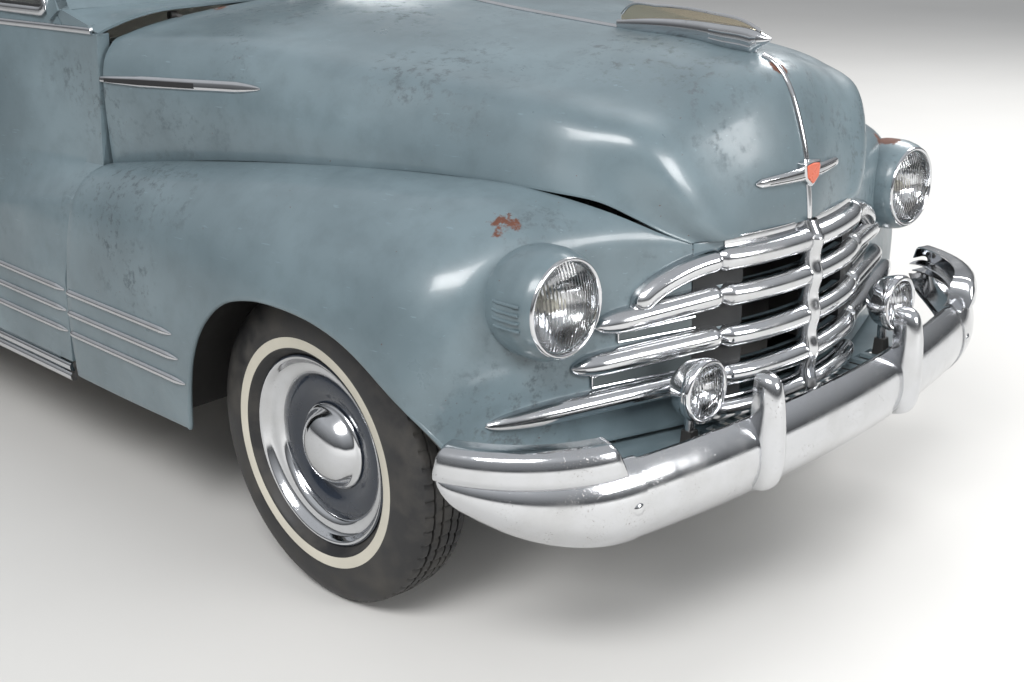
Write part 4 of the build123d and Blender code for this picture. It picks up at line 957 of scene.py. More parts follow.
def build_rear_fender(name, side):
    keys = np.array([[(x, y, z) for y, z in row] for x, *row in REAR_FENDER_ROWS], float)
    grid = patch(keys, 90, 60) * np.array([1, side, 1])
    skin = sheet_piece(f"fender_rear_skin_{name}", grid, [PAINT, CHASSIS], depth=0.014)
    arch = [(REAR_AXLE_X + x, z) for x, z in bent(REAR_ARCH, 60)]
    carve(skin, prism(arch, side * 700, side * 1100))
    well = []
    turn = np.radians(np.linspace(-4, 184, 44))
    for y in (642, 700, 760, 820, 872):
        well.append([(REAR_AXLE_X + REAR_WELL_R * math.cos(t), side * y, AXLE_Z + REAR_WELL_R * math.sin(t))
                     for t in turn])
    liner = sheet_piece(f"rear_well_{name}", np.array(well), CHASSIS, inside=(REAR_AXLE_X, 0, 2000),
                        depth=0.004)
    spokes = np.array([[(REAR_AXLE_X + r * math.cos(t), side * 642, AXLE_Z + r * math.sin(t)) for t in turn]
                       for r in np.linspace(150, REAR_WELL_R, 6)])
    apron = sheet_piece(f"rear_apron_{name}", spokes, CHASSIS, depth=0.004)
    whole = join(f"fender_rear_{name}_shell", [skin, liner, apron])
    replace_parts(whole, f"fender_rear_{name}")
    surface = patch(keys, 160, 90).reshape(-1, 3)
    edge = []
    for x, z in bent([(REAR_AXLE_X + x, max(z, 352)) for x, z in REAR_ARCH[1:-1]], 70):
        span = (surface[:, 0] - x) ** 2 + (surface[:, 2] - z) ** 2 + (surface[:, 1] < 780) * 1e6
        edge.append((x, side * (surface[np.argmin(span), 1] - 6), z))
    sweep(f"rear_arch_lip_{name}", spaced(edge, 80), circle(6, 10), PAINT, up=(0, side, 0))


for side_name, sign in SIDES:
    build_rear_fender(side_name, sign)


# Front fenders: deep steel pressings from the grille's side to the door, bolted to the inner aprons.
# Each has a rolled lip round its arch, a wheel well, and a flat face turned to the front.
FRONT_WELL_R = 425.0
# Front fender: x, then (y, z) of hood seam, crown, shoulder, side and foot
FENDER_ROWS = (
    (740, (750, 860), (815, 852), (868, 798), (899, 600), (885, 332)),
    (1150, (708, 912), (800, 893), (866, 820), (901, 600), (886, 332)),
    (1500, (645, 942), (765, 916), (852, 828), (900, 610), (888, 345)),
    (1850, (552, 951), (700, 926), (818, 832), (884, 620), (872, 400)),
    (2080, (508, 944), (645, 914), (770, 830), (842, 640), (826, 430)),
    (2215, (440, 905), (575, 872), (690, 785), (752, 640), (725, 440)),
    (2310, (345, 845), (440, 822), (540, 750), (600, 640), (580, 440)),
    (2350, (292, 818), (292, 790), (292, 730), (292, 640), (292, 440)),
)
ARCH = ((1303, 325), (1318, 375), (1342, 450), (1378, 545), (1425, 622), (1500, 684), (1594, 710),
        (1700, 714), (1799, 703), (1900, 671), (1978, 632), (2060, 570), (2115, 505), (2140, 455),
        (2150, 430))
# Swept face beside the grille: a place on it and its direction
FACE_SPOT = np.array([2298.0, 300.0, 0.0])
FACE_NORMAL = np.array([math.cos(math.radians(19.6)), math.sin(math.radians(19.6)), 0.0])
# Front edge of the door: (height, x) low and high
DOOR_FRONT = ((372, 778.0), (1192, 900.0))


def door_front_x(z):
    """Front edge of the door at a height."""
    (low_z, low_x), (high_z, high_x) = DOOR_FRONT
    return low_x + (np.asarray(z, float) - low_z) / (high_z - low_z) * (high_x - low_x)


def section_table(rows, count):
    """Each station's outline resampled smoothly: stations, places, (y, z)."""
    keys = np.array([row[1:] for row in rows], float)
    wide = mean_run(keys, 1)
    return smooth(wide, keys.transpose(1, 0, 2), np.linspace(0, wide[-1], count)).transpose(1, 0, 2)


def onto_face(points, soft=60.0):
    """Flattens what lies ahead of the swept face onto it, with a rounded turn."""
    ahead = (points - FACE_SPOT) @ FACE_NORMAL
    blend = np.maximum(soft - np.abs(ahead), 0) / soft
    kept = np.minimum(ahead, 0) - blend**2 * soft / 4
    return points + (kept - ahead)[..., None] * FACE_NORMAL


def fender_grid(across=56):
    """Grid of the left fender's skin, its foot cut to the wheel arch and its rear edge to the door."""
    fine = 90
    stations = [row[0] for row in FENDER_ROWS]
    table = section_table(FENDER_ROWS, fine)
    rear = np.linspace(0, 1, 18)[:-1]
    arch = bent(ARCH, 60)
    front = np.linspace(2150, 2350, 34)[1:]
    columns = []
    for share in list(rear) + [None] * len(arch) + list(front):
        if share is None:
            spot = arch[len(columns) - len(rear)]
            xs = np.full(fine, spot[0])
            foot = spot[1]
        elif share < 2:
            guess = smooth(stations, table, np.full(1, 800 + share * 500))[0]
            edge = door_front_x(guess[:, 1]) + 11
            xs = edge * (1 - share) + 1303 * share
            foot = None
        else:
            xs = np.full(fine, share)
            foot = None
        column = np.empty((fine, 3))
        column[:, 0] = xs
        for place in range(fine):
            column[place, 1:] = smooth(stations, table[:, place], xs[place:place + 1])[0]
        places = np.arange(fine, dtype=float)
        end = places[-1]
        if foot is not None:
            below = np.nonzero(column[:, 2] < foot)[0]
            if len(below):
                high = below[0]
                end = high - 1 + (column[high - 1, 2] - foot) / (column[high - 1, 2] - column[high, 2])
        columns.append(smooth(places, column, np.linspace(0, 1, across) ** 0.92 * end))
    return onto_face(np.array(columns))


FENDER_GRID = fender_grid()
FENDER_SIDE = FENDER_GRID.reshape(-1, 3)


def fender_y(x, z):
    """How far out the front fender's skin lies at a place on its side."""
    near = FENDER_SIDE[FENDER_SIDE[:, 1] > 500]
    span = (near[:, 0] - x) ** 2 + (near[:, 2] - z) ** 2
    pick = np.argsort(span)[:6]
    weight = 1 / (span[pick] + 1)
    return float((near[pick, 1] * weight).sum() / weight.sum())


def build_front_fender(name, side):
    points = FENDER_GRID * np.array([1, side, 1])
    skin = sheet_piece(f"fender_front_skin_{name}", points, [PAINT, CHASSIS], depth=0.012, edge=0.002)
    turn = np.radians(np.linspace(0, 180, 40))
    well = []
    for y in (462, 560, 680, 800):
        well.append([(FRONT_AXLE_X - FRONT_WELL_R * math.cos(t), y * side,
                      AXLE_Z + FRONT_WELL_R * math.sin(t)) for t in turn])
    well = np.array(well)
    reach = np.array([min(860.0, fender_y(min(max(x, 900), 2200), min(max(z, 360), 780)) - 14)
                      for x, _, z in well[-1]])
    well[-1][:, 1] = side * np.clip(reach, 560, 860)
    liner = sheet_piece(f"wheel_well_{name}", well, CHASSIS, inside=(FRONT_AXLE_X, 0, 2000), depth=0.004)
    spokes = []
    for r in np.linspace(150, FRONT_WELL_R, 8):
        spokes.append([(FRONT_AXLE_X - r * math.cos(t), 462 * side, AXLE_Z + r * math.sin(t)) for t in turn])
    apron = sheet_piece(f"apron_{name}", np.array(spokes), CHASSIS, depth=0.004)
    front = [[(x, 455 * side, z) for z in np.linspace(430, 900 - max(0, x - 2100) * 0.5, 6)]
             for x in np.linspace(1990, 2230, 5)]
    rear = [[(x, 455 * side, z) for z in np.linspace(345, 860, 6)] for x in np.linspace(910, 1380, 5)]
    panels = [sheet_piece(f"apron_{k}_{name}", np.array(grid), CHASSIS, depth=0.004)
              for k, grid in (("front", front), ("rear", rear))]
    whole = join(f"fender_front_{name}_shell", [skin, liner, apron] + panels)
    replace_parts(whole, f"fender_front_{name}")
    edge = points[17:77, -1]
    sweep(f"arch_lip_{name}", spaced(edge + np.array([0, -side * 6.0, 0]), 80), circle(6, 10), PAINT,
          up=(0, side, 0))


for side_name, sign in SIDES:
    build_front_fender(side_name, sign)


# Doors: steel skins hinged at the front, with the fender's bulge running out over them.
# Inside, a cloth card with a stuffed arm rest covers the frame and its two cranks.
DOOR_WINDOW = [(672, 1240), (440, 1512), (-130, 1512), (-180, 1450), (-212, 1240)]
# Front fender's trailing bulge on the door: x, then (y, z) of the drop, top, shoulder, side and foot
PONTOON_ROWS = (
    (905, (700, 890), (790, 868), (860, 812), (899, 600), (885, 345)),
    (600, (710, 852), (800, 830), (866, 770), (892, 590), (885, 345)),
    (250, (725, 784), (810, 762), (862, 700), (880, 560), (884, 345)),
    (-60, (725, 714), (800, 692), (840, 640), (868, 560), (880, 345)),
)


def with_pontoon(points):
    """Door surface: the body's side with the fender's trailing bulge blended in."""
    points = points.copy()
    keys = np.array([row[1:] for row in PONTOON_ROWS], float)
    stations = [row[0] for row in PONTOON_ROWS]
    flat = points.reshape(-1, 3)
    soft = 26.0
    for spot in flat:
        x, y, z = spot
        if z > 900 or x < -60:
            continue
        row = np.array([[np.interp(-x, [-k for k in stations], keys[:, i, j]) for j in (0, 1)]
                        for i in range(5)])
        bulge = np.interp(z, row[::-1, 1], row[::-1, 0])
        gap = min(max(abs(y - bulge), 0.0), soft)
        spot[1] = max(y, bulge) + (soft - gap) ** 2 / (4 * soft)
    return points


DOOR_GRID = with_pontoon(drawn_in(body_patch(904.9, -420, 0.0, 0.47, 110, 110)))


def door_y(x, z):
    """Half width of the door's skin."""
    return skin_y(DOOR_GRID, x, z)


# Mouldings of fender and door: height, front end on the fender, rear end on the door
SPEARS = ((571, 1306, 400), (515, 1322, 360), (458, 1338, 320))


def spear(name, start, end, z, side, body):
    """Half-round moulding along the fender or the door, pointed at its front end."""
    xs = np.linspace(start, end, 60)
    width = fender_y if body == "body" else door_y
    path = np.array([(x, side * (width(x, z) + 0.5), z) for x in xs])
    run = lengths(path)
    size = np.sqrt(np.clip((run[-1] - run) / 40, 0.02, 1)) * np.sqrt(np.clip(run / 4, 0.3, 1))
    section = moulding(9, -2, 3, 3, 8.5, 3)
    return sweep(name, path, section, CLEAN_CHROME, up=(0, side, 0), size=size, body=body)


SEAT = cloth("seat_cloth", (0.2, 0.19, 0.165), (0.13, 0.125, 0.115))


def build_door(name, side):
    body = f"door_{name}"
    turn = np.array([1, side, 1])
    skin = sheet_piece(f"door_skin_{name}", DOOR_GRID * turn, [PAINT, LINING], depth=0.032, body=body)
    carve(skin, prism(DOOR_OUTLINE, side * 500, side * 1000), keep=True)
    carve(skin, prism(rounded(DOOR_WINDOW, 40), side * 500, side * 1000))
    rim = skin.modifiers.new("rim", "BEVEL")
    rim.width = 0.003
    rim.segments = 2
    rim.limit_method = "ANGLE"
    rim.angle_limit = math.radians(60)
    settle(skin)
    shade(skin)
    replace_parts(skin, f"door_{name}")
    frame_line = loop_on_side(grown(DOOR_WINDOW, 9), 48, 140, 0.5) * turn
    wide = moulding(11, -3, 3, 5, 7, 3)
    ring(f"window_frame_{name}", frame_line, wide, CLEAN_CHROME, up=(0, side, 0), body=body)
    inner = loop_on_side(DOOR_WINDOW, 40, 140, -12) * turn
    ring(f"window_seal_{name}", inner, circle(6, 8), SEAL, up=(0, side, 0), body=body, slot="tyre_rubber")
    belt = np.array([(x, door_y(x, 1197) * side + side * 0.5, 1197 - 0.004 * (880 - x))
                     for x in np.linspace(880, -310, 70)])
    sweep(f"belt_strip_{name}", belt, TRIM * np.array([1.2, 1]), CLEAN_CHROME, up=(0, side, 0), body=body)
    for index, (z, _, rear) in enumerate(SPEARS):
        spear(f"door_spear_{index}_{name}", rear, float(door_front_x(z)) - 6, z, side, body)
    handle_z = 1085
    y = door_y(-230, handle_z)
    grip = bent([(-175, y - 2, handle_z), (-178, y + 32, handle_z + 2), (-200, y + 42, handle_z),
                 (-270, y + 38, handle_z - 8), (-300, y + 30, handle_z - 12)], 26) * turn
    sweep(f"door_handle_{name}", grip, circle(8, 14), CLEAN_CHROME, up=(0, 0, 1), body=body,
          size=np.linspace(1.2, 0.75, 26))
    lathe(f"handle_plate_{name}", rounded([(0.5, 7), (14, 6), (19, 1), (19, -2)], 3, 3, False),
          (-175, side * y, handle_z), (0, side, 0), CLEAN_CHROME, steps=32, body=body)
    card = []
    for x in np.linspace(735, -290, 30):
        column = []
        for z in np.linspace(400, 1222, 20):
            skin_at = door_y(x, z)
            column.append((x, side * (skin_at - 40 - max(0.0, skin_at - body_y(x, z))), z))
        card.append(column)
    card = np.array(card)
    card[:, :, 1] += side * 2.0 * np.cos(np.linspace(0, 10 * math.pi, 30))[:, None]
    sheet_piece(f"door_card_{name}", card, LINING, inside=(0, side * 2000, 800), depth=0.004, body=body,
                slot="seat_cloth")
    rest = bent([(-220, side * (body_y(-220, 900) - 52), 905), (60, side * (body_y(60, 900) - 62), 912),
                 (330, side * (body_y(330, 900) - 52), 905)], 24)
    arm = sweep(f"arm_rest_{name}", rest, bar_outline(16, -18, 18, 12), SEAT, body=body,
                size=np.sqrt(np.clip(np.sin(np.linspace(0.02, 0.98, 24) * math.pi) * 2.2, 0.1, 1)),
                slot="seat_cloth")
    for x, z, reach in ((180, 1010, 62), (430, 940, 66)):
        y = min(body_y(x, z), door_y(x, z)) - 42
        lathe(f"crank_hub_{reach}_{name}", rounded([(0.5, 14), (12, 12), (15, 0)], 3, 3, False),
              (x, side * y, z), (0, -side, 0), CLEAN_CHROME, steps=24, body=body)
        sweep(f"crank_arm_{reach}_{name}",
              bent([(x, side * (y - 12), z), (x - reach / 2, side * (y - 16), z - 6),
                    (x - reach, side * (y - 20), z - 14)], 12), circle(5, 10), CLEAN_CHROME, body=body)


for side_name, sign in SIDES:
    build_door(side_name, sign)


# Hood: one deep steel pressing from cowl to nose with a rolled edge, hinged at its rear on two arms.
# A bright bead is clipped along its middle, broken by the ornament.
#
# Stations: x and z of the seam, tilt, seam half width, low side (y, h), top edge (y, h), crown h
HOOD_ROWS = (
    (864, 872, 81.5, 756, 772, 225, 690, 322, 374),
    (1200, 917, 86, 700, 700, 165, 545, 284, 322),
    (1560, 944, 90, 632, 622, 115, 465, 224, 266),
    (1871, 951, 90, 550, 535, 80, 385, 186, 238),
    (2100, 943, 82, 504, 484, 50, 335, 160, 232),
    (2190, 925, 66, 452, 430, 36, 290, 148, 232),
    (2240, 890, 45, 402, 376, 24, 250, 96, 154),
    (2275, 856, 20, 352, 330, 12, 215, 62, 99),
    (2300, 830, 0, 302, 282, 8, 175, 46, 73),
)


def hood_keys():
    """Guide points of the hood: stations, nine places across, xyz."""
    stations = []
    for x, z, tilt, seam_y, low_y, low_h, top_y, top_h, crown_h in HOOD_ROWS:
        a = math.radians(tilt)
        bend_y = (low_y + top_y) / 2 + 0.44 * (low_y - (low_y + top_y) / 2)
        bend_h = (low_h + top_h) / 2 + 0.44 * (top_h - (low_h + top_h) / 2)
        half = [(seam_y, 0), (low_y, low_h), (bend_y, bend_h), (top_y, top_h)]
        across = half + [(0, crown_h)] + [(-y, h) for y, h in reversed(half)]
        stations.append([(x + math.cos(a) * h, y, z + math.sin(a) * h) for y, h in across])
    return np.array(stations, float)


HOOD_KEYS = hood_keys()
HOOD_GRID = patch(HOOD_KEYS, 96, 81)


def build_hood():
    skin = sheet_piece("hood_skin", HOOD_GRID, [PAINT, CHASSIS], depth=0.014, edge=0.003, body="hood")
    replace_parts(skin, "hood")
    crown = HOOD_GRID[:, 40]
    start = int(np.argmin(np.abs(crown[:, 0] - 2235)))
    bead = crown[start:]
    lift = np.gradient(bead, axis=0)
    normal = np.stack([-lift[:, 2], np.zeros(len(lift)), lift[:, 0]], 1)
    normal /= np.linalg.norm(normal, axis=1)[:, None]
    sweep("hood_bead", spaced(bead + normal * 1.0, 60), circle(6.5, 12, 0.8), CLEAN_CHROME, body="hood",
          up=(1, 0, 0.3))
    crest = crown[(crown[:, 0] > 925) & (crown[:, 0] < 1856)]
    sweep("crown_bead", spaced(crest + np.array([0, 0, 1.0]), 60), circle(7, 12, 0.8), CLEAN_CHROME,
          body="hood")
    for name, side in SIDES:
        lathe(f"hood_hinge_{name}", [(4, -7), (12, -7), (12, 11), (4, 11)], (885, side * 560, 1212),
              (0, 1, 0), CHASSIS, steps=24, body="hood", slot="chassis_black")
        arm = np.array([(914, side * 560, 1213), (930, side * 560, 1205), (950, side * 560, 1186),
                        (975, side * 560, 1172)])
        sweep(f"hood_arm_{name}", bent(arm, 12), bar_outline(8, -5, 5, 2), CHASSIS, body="hood",
              slot="chassis_black")


build_hood()


# Nose: painted steel panel round the front, bolted between the fenders and pierced by the openings
# of the grille, with a bright band pressed over its upper edge.
#
# Axis and radius of the nose's arc in plan
NOSE_X = 1651.2
NOSE_R = 714.8
CHROME = chrome("aged_chrome")
# Near-black paint that stands in for the shade falling between the grille bars
GRILLE_SHADE = plain("grille_painted_shade", (0.011, 0.012, 0.013), 0.55, 0.0)


def on_nose(turn, radius, z):
    """Place at an angle round the nose, from straight ahead."""
    return (NOSE_X + radius * math.cos(turn), radius * math.sin(turn), z)


def build_nose():
    half = math.asin(298 / NOSE_R)
    strips = []
    for low, high in ((432, 486), (518, 562), (602, 646), (691, 735), (767, 829)):
        grid = [[on_nose(a, NOSE_R, z) for a in np.linspace(-half, half, 41)]
                for z in np.linspace(low, high, 4)]
        strips.append(sheet_piece(f"nose_strip_{low}", np.array(grid), PAINT, depth=0.02, edge=0.003))
    # Webs between the strips beside the openings, painted near-black as the shade between the bars
    for index, (low, high) in enumerate(((486, 518), (562, 602), (646, 691), (735, 767))):
        for sign in (1, -1):
            grid = [[on_nose(a * sign, NOSE_R, z) for a in np.linspace(math.radians(15), half, 12)]
                    for z in np.linspace(low, high, 3)]
            strips.append(sheet_piece(f"nose_shade_web_{index}_{sign + 1}", np.array(grid), GRILLE_SHADE,
                                      depth=0.02))
    band = math.radians(19)
    for low, high, out in ((809, 832, 3.0), (806, 809.5, 5.0), (831, 834, 5.0)):
        grid = [[on_nose(a, NOSE_R + out, z) for a in np.linspace(-band, band, 41)]
                for z in np.linspace(low, high, 3)]
        strips.append(sheet_piece(f"nose_band_{low}", np.array(grid), CHROME, depth=0.006, edge=0.0008))
    panel = join("nose_panel_skin", strips)
    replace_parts(panel, "nose_panel")


build_nose()


# Grille: half-round die-cast bars, chromed and bolted to the nose, with an upright in their middle.
# Longer bars, with shallow recesses between them, carry on over the fenders' swept faces.
#
# Bars round the nose: height, half angle in degrees, girth, depth
BARS = ((790, 21.5, 50, 32), (713, 20.4, 49, 34), (624, 20.4, 49, 34), (540, 20.4, 49, 34),
        (464, 22.5, 42, 30))
# Lower edges of the openings
OPENING_EDGES = (486, 562, 646, 735)
RECESS = plain("recess_grey", (0.11, 0.13, 0.135), 0.4, 0.4)
# Wing bars: inner end (y, z), outer end (y, z), half height, taper of the outer end
WING_BARS = (
    ((232, 713), (512, 692), 27, 75),
    ((232, 624), (560, 613), 27, 80),
    ((232, 540), (735, 530), 26, 190),
)
TOP_WING = ((232, 788), (268, 786), (330, 772), (392, 744), (428, 714))


def bar_section(height, depth, count=10):
    """Rounded front, flat back: (out from the nose, up)."""
    turn = np.linspace(-math.pi / 2, math.pi / 2, count)
    front = [(depth * (0.25 + 0.75 * math.cos(t)), height / 2 * math.sin(t)) for t in turn]
    return [(-2, -height / 2)] + front + [(-2, height / 2)]


def on_face(y, z, out=0.0):
    """Place on the swept face of the left fender."""
    slant = FACE_NORMAL[1] / FACE_NORMAL[0]
    return np.array([FACE_SPOT[0] - (y - FACE_SPOT[1]) * slant, y, z]) + FACE_NORMAL * out


def half_round(name, path, girth, side):
    """Half-round bar lying on the swept face."""
    path = np.asarray(path, float)
    along = np.gradient(path, axis=0)
    along /= np.linalg.norm(along, axis=1)[:, None]
    turn = np.linspace(-math.pi / 2, math.pi / 2, 17)
    points = []
    for spot, way, g in zip(path, along, girth):
        up = np.cross(FACE_NORMAL, way)
        points += [spot + up * g * math.sin(t) + FACE_NORMAL * (0.3 + g * 1.15 * math.cos(t)) for t in turn]
    points = np.array(points) * np.array([1, side, 1])
    return solid(name, points, grid_faces(len(path), 17, wrap_columns=True), CHROME, 50)


def bar_girth(run, radius, taper):
    """Half height along a bar: round at its start, tapered at its end."""
    length = run[-1]
    start = np.sqrt(np.clip(1 - np.clip(1 - run / radius, 0, 1) ** 2, 0.003, 1))
    end = np.sqrt(np.clip(1 - np.clip((run - length + taper) / taper, 0, 1) ** 2, 0.003, 1))
    return radius * start * end


def wing_bars(name, side):
    bars = []
    for index, (first, last, radius, taper) in enumerate(WING_BARS):
        first = on_face(*first)
        last = on_face(*last)
        share = (1 - np.cos(np.linspace(0, math.pi, 60))) / 2
        path = first + (last - first) * share[:, None]
        bars.append(half_round(f"wing_bar_{index}_{name}", path, bar_girth(lengths(path), radius, taper),
                               side))
    path = bent([on_face(y, z) for y, z in TOP_WING], 50)
    bars.append(half_round(f"wing_bar_top_{name}", path, bar_girth(lengths(path), 26, 34), side))
    for index, (y_out, high, low) in enumerate(((500, 676, 652), (556, 596, 566))):
        grid = np.array([[on_face(y, z, 1.5) for z in np.linspace(low, high - (y - 292) * 0.03, 4)]
                         for y in np.linspace(292, y_out - 40, 12)]) * np.array([1, side, 1])
        bars.append(sheet_piece(f"wing_recess_{index}_{name}", grid, RECESS, depth=0.003))
        for k in (0, -1):
            edge = grid[:, k] + np.array([0.94, side * 0.33, 0]) * 2
            bars.append(sweep(f"recess_edge_{index}_{k + 1}_{name}", edge, circle(2.6, 8), CLEAN_CHROME))
        edge = grid[-1] + np.array([0.94, side * 0.33, 0]) * 2
        bars.append(sweep(f"recess_end_{index}_{name}", edge, circle(2.6, 8), CLEAN_CHROME, up=(0, 1, 0)))
    return bars


def build_grille():
    parts = []
    for z, half_angle, height, depth in BARS:
        reach = math.radians(half_angle)
        turn = reach * np.sin(np.linspace(-math.pi / 2, math.pi / 2, 81))
        path = np.array([on_nose(a, NOSE_R + 0.5, z) for a in turn])
        out = np.array([(math.cos(a), math.sin(a), 0) for a in turn])
        section = np.array(bar_section(height, depth))
        fade = np.clip((reach - np.abs(turn)) * NOSE_R / 26, 0.03, 1) ** 0.45
        sunk = fade * (1 - 0.3 * np.clip(1 - (reach - np.abs(turn)) * NOSE_R / 85, 0, 1) ** 2)
        points = (path[:, None] + out[:, None] * section[None, :, :1] * sunk[:, None, None]
                  + np.array([0, 0, 1.0]) * section[None, :, 1:] * fade[:, None, None])
        faces = grid_faces(81, len(section), wrap_columns=True)
        parts.append(solid(f"grille_bar_{z}", points, faces, CHROME, 50))
    levels = np.linspace(440, 832, 80)
    bulge = 41 + 4 * np.cos((levels - 464) / 83 * 2 * math.pi) * (levels < 800)
    bulge -= np.clip(levels - 796, 0, 40) * 0.5
    bulge -= np.clip(458 - levels, 0, 40) ** 2 / 40
    path = np.array([(NOSE_X + NOSE_R, 0, z) for z in levels])
    section = np.array([(-17, 0), (-17, 0.62), (-11, 0.9), (0, 1.0), (11, 0.9), (17, 0.62), (17, 0)])
    points = np.array([[(x + h * b, y, z) for y, h in section] for (x, _, z), b in zip(path, bulge)])
    parts.append(solid("grille_spine", points, grid_faces(80, 7, wrap_columns=True), CHROME, 50))
    for z in OPENING_EDGES:
        edge = [on_nose(a, NOSE_R + 1.5, z) for a in np.linspace(-0.32, 0.32, 61)]
        parts.append(sweep(f"opening_edge_{z}", edge, circle(2.8, 8), CLEAN_CHROME))
    for name, side in SIDES:
        parts += wing_bars(name, side)
    whole = join("grille_chrome", parts)
    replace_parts(whole, "grille")


build_grille()


# Lamps: sealed headlamps in painted steel shells on the fenders, under chromed rings.
# The fog lamps are chromed bowls on stems from the bumper's irons. All four glasses are fluted.


def glass(name, tint=(0.93, 0.97, 0.96), roughness=0.02, ribs=None):
    """Clear glass, with pressed ribs where ribs gives them."""
    look = Look(name, tint, roughness)
    extra = {}
    if ribs:
        extra["Normal"] = look.bump(ribs(look), 0.9, 0.002)
    look.set(Transmission_Weight=1.0, IOR=1.46, **extra)
    return look.material


def flutes(look):
    """Height of a lamp glass's upright flutes and cross bars."""
    parts = look.node("ShaderNodeSeparateXYZ", Vector=look.place)
    ribs = look.sum("PINGPONG", look.sum("ADD", parts.outputs["Y"], 2.0), 0.0042)
    bars = look.sum("PINGPONG", parts.outputs["Z"], 0.019)
    return look.sum("ADD", look.sum("MULTIPLY", ribs, 160.0), look.ramp(bars, (0.0, 0.0), (0.06, 0.5)))


LAMP_GLASS = glass("lamp_glass", (0.97, 0.98, 0.98), 0.03, flutes)
# Middles of the left lamps' glasses
LAMP = np.array([2254.0, 624.0, 767.0])
FOG = np.array([2392.0, 366.0, 557.0])


def dome(radius, height, steps=12):
    """Outline of a shallow dome, from its edge to its middle."""
    ball = (radius**2 + height**2) / (2 * height)
    rise = np.linspace(0, radius, steps)[::-1]
    return [(max(r, 0.2), height - ball + math.sqrt(ball**2 - r * r)) for r in rise]


def build_lamps():
    shells = []
    fogs = []
    lenses = []
    for name, side in SIDES:
        spot = LAMP * np.array([1, side, 1])
        outline = rounded([(80, -128), (98, -128), (111, -78), (111.5, -34), (105, -8), (97, 5), (92.5, 6),
                           (92.5, -6), (84, -6)], 9, 4, closed=False)
        shell = lathe(f"headlamp_ring_{name}", outline, spot, (1, 0, 0), PAINT, steps=96)
        bezel = lathe(f"headlamp_bezel_{name}",
                      rounded([(88, 0), (89, 7), (94, 9.5), (98, 6), (98, 2)], 3, 3, False), spot, (1, 0, 0),
                      CLEAN_CHROME, steps=128)
        bowl = [(90 * math.sqrt(k), -62 + 60 * k) for k in np.linspace(0.002, 1, 16)]
        reflector = lathe(f"reflector_{name}", bowl, spot, (1, 0, 0), CLEAN_CHROME, steps=96)
        bulb = lathe(f"lamp_bulb_{name}", [(0.3, -34), (9, -38), (12, -46), (10, -56), (6, -62)], spot,
                     (1, 0, 0), WHITEWALL, steps=24, slot="lamp_glass")
        ribs = []
        for level in (-24, -8, 8, 24):
            turn = math.radians(180) + level / 111
            y = side * -111.5 * math.cos(turn)
            path = [(spot[0] - 82 + k, spot[1] + y * (1.0 + (0.004 if 8 < k < 66 else -0.02)),
                     spot[2] + level) for k in np.linspace(0, 66, 12)]
            ribs.append(sweep(f"lamp_rib_{name}_{level}", path, circle(3.2, 8), PAINT))
        shells.append(join(f"headlamp_{name}", [shell, bezel, reflector, bulb] + ribs))
        lenses.append(lathe(f"headlamp_lens_{name}", [(88.5, -2)] + dome(88.5, 19), spot, (1, 0, 0),
                            LAMP_GLASS, steps=96, slot="lamp_glass"))
        spot = FOG * np.array([1, side, 1])
        body = lathe(f"fog_shell_{name}",
                     rounded([(1, -77), (34, -68), (56, -46), (66, -14), (66, -6), (62, -4)], 8, 4, False),
                     spot, (1, 0, 0), CHROME, steps=72)
        rim = lathe(f"fog_ring_{name}",
                    rounded([(64, -10), (67.5, -4), (65, 4), (58, 6), (54, 3), (54, -4)], 3, 3, False), spot,
                    (1, 0, 0), CLEAN_CHROME, steps=72)
        bowl = [(55 * math.sqrt(k), -38 + 36 * k) for k in np.linspace(0.003, 1, 12)]
        inner = lathe(f"fog_bowl_{name}", bowl, spot, (1, 0, 0), CLEAN_CHROME, steps=64)
        stem = sweep(f"fog_stem_{name}", [(spot[0] - 40, spot[1], z) for z in np.linspace(462, 500, 8)],
                     circle(11, 16), CHROME, up=(1, 0, 0))
        foot = sweep(f"fog_foot_{name}", [(spot[0] - 40, spot[1], z) for z in (397, 398, 440, 464)],
                     bar_outline(18, -18, 18, 5), CHASSIS, up=(1, 0, 0), size=[1, 1, 0.8, 0.7],
                     slot="chassis_black")
        fogs.append(join(f"fog_lamp_{name}", [body, rim, inner, stem, foot]))
        lenses.append(lathe(f"fog_lens_{name}", [(54, -2)] + dome(54, 10), spot, (1, 0, 0), LAMP_GLASS,
                            steps=72, slot="lamp_glass"))
    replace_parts(join("headlamp_pair", shells), "headlamps")
    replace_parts(join("fog_lamp_pair", fogs), "fog_lamps")
    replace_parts(join("lens_set", lenses), "lamp_lenses")


build_lamps()


# Bumpers: chromed spring steel in three parts, a middle bar and two wings with a step along their top.
# Bolts and flat irons hold them to the frame, and two upright guards are bolted over the bar.
#
# Front of the bar and radius of its middle part, middle of a guard, and seam between bar and wing
BUMPER_X = 2498.0
BUMPER_R = 3222.0
GUARD_Y = 268.0
SEAM_Y = 598.0
# Guard: height, front and half width, and the place of its back
GUARD_ROWS = ((336, 2474, 22), (346, 2493, 31), (372, 2505, 36), (420, 2511, 36), (470, 2511, 33),
              (520, 2509, 29), (556, 2503, 26), (576, 2494, 22), (586, 2480, 15), (588, 2466, 8))
GUARD_BACK = 2452


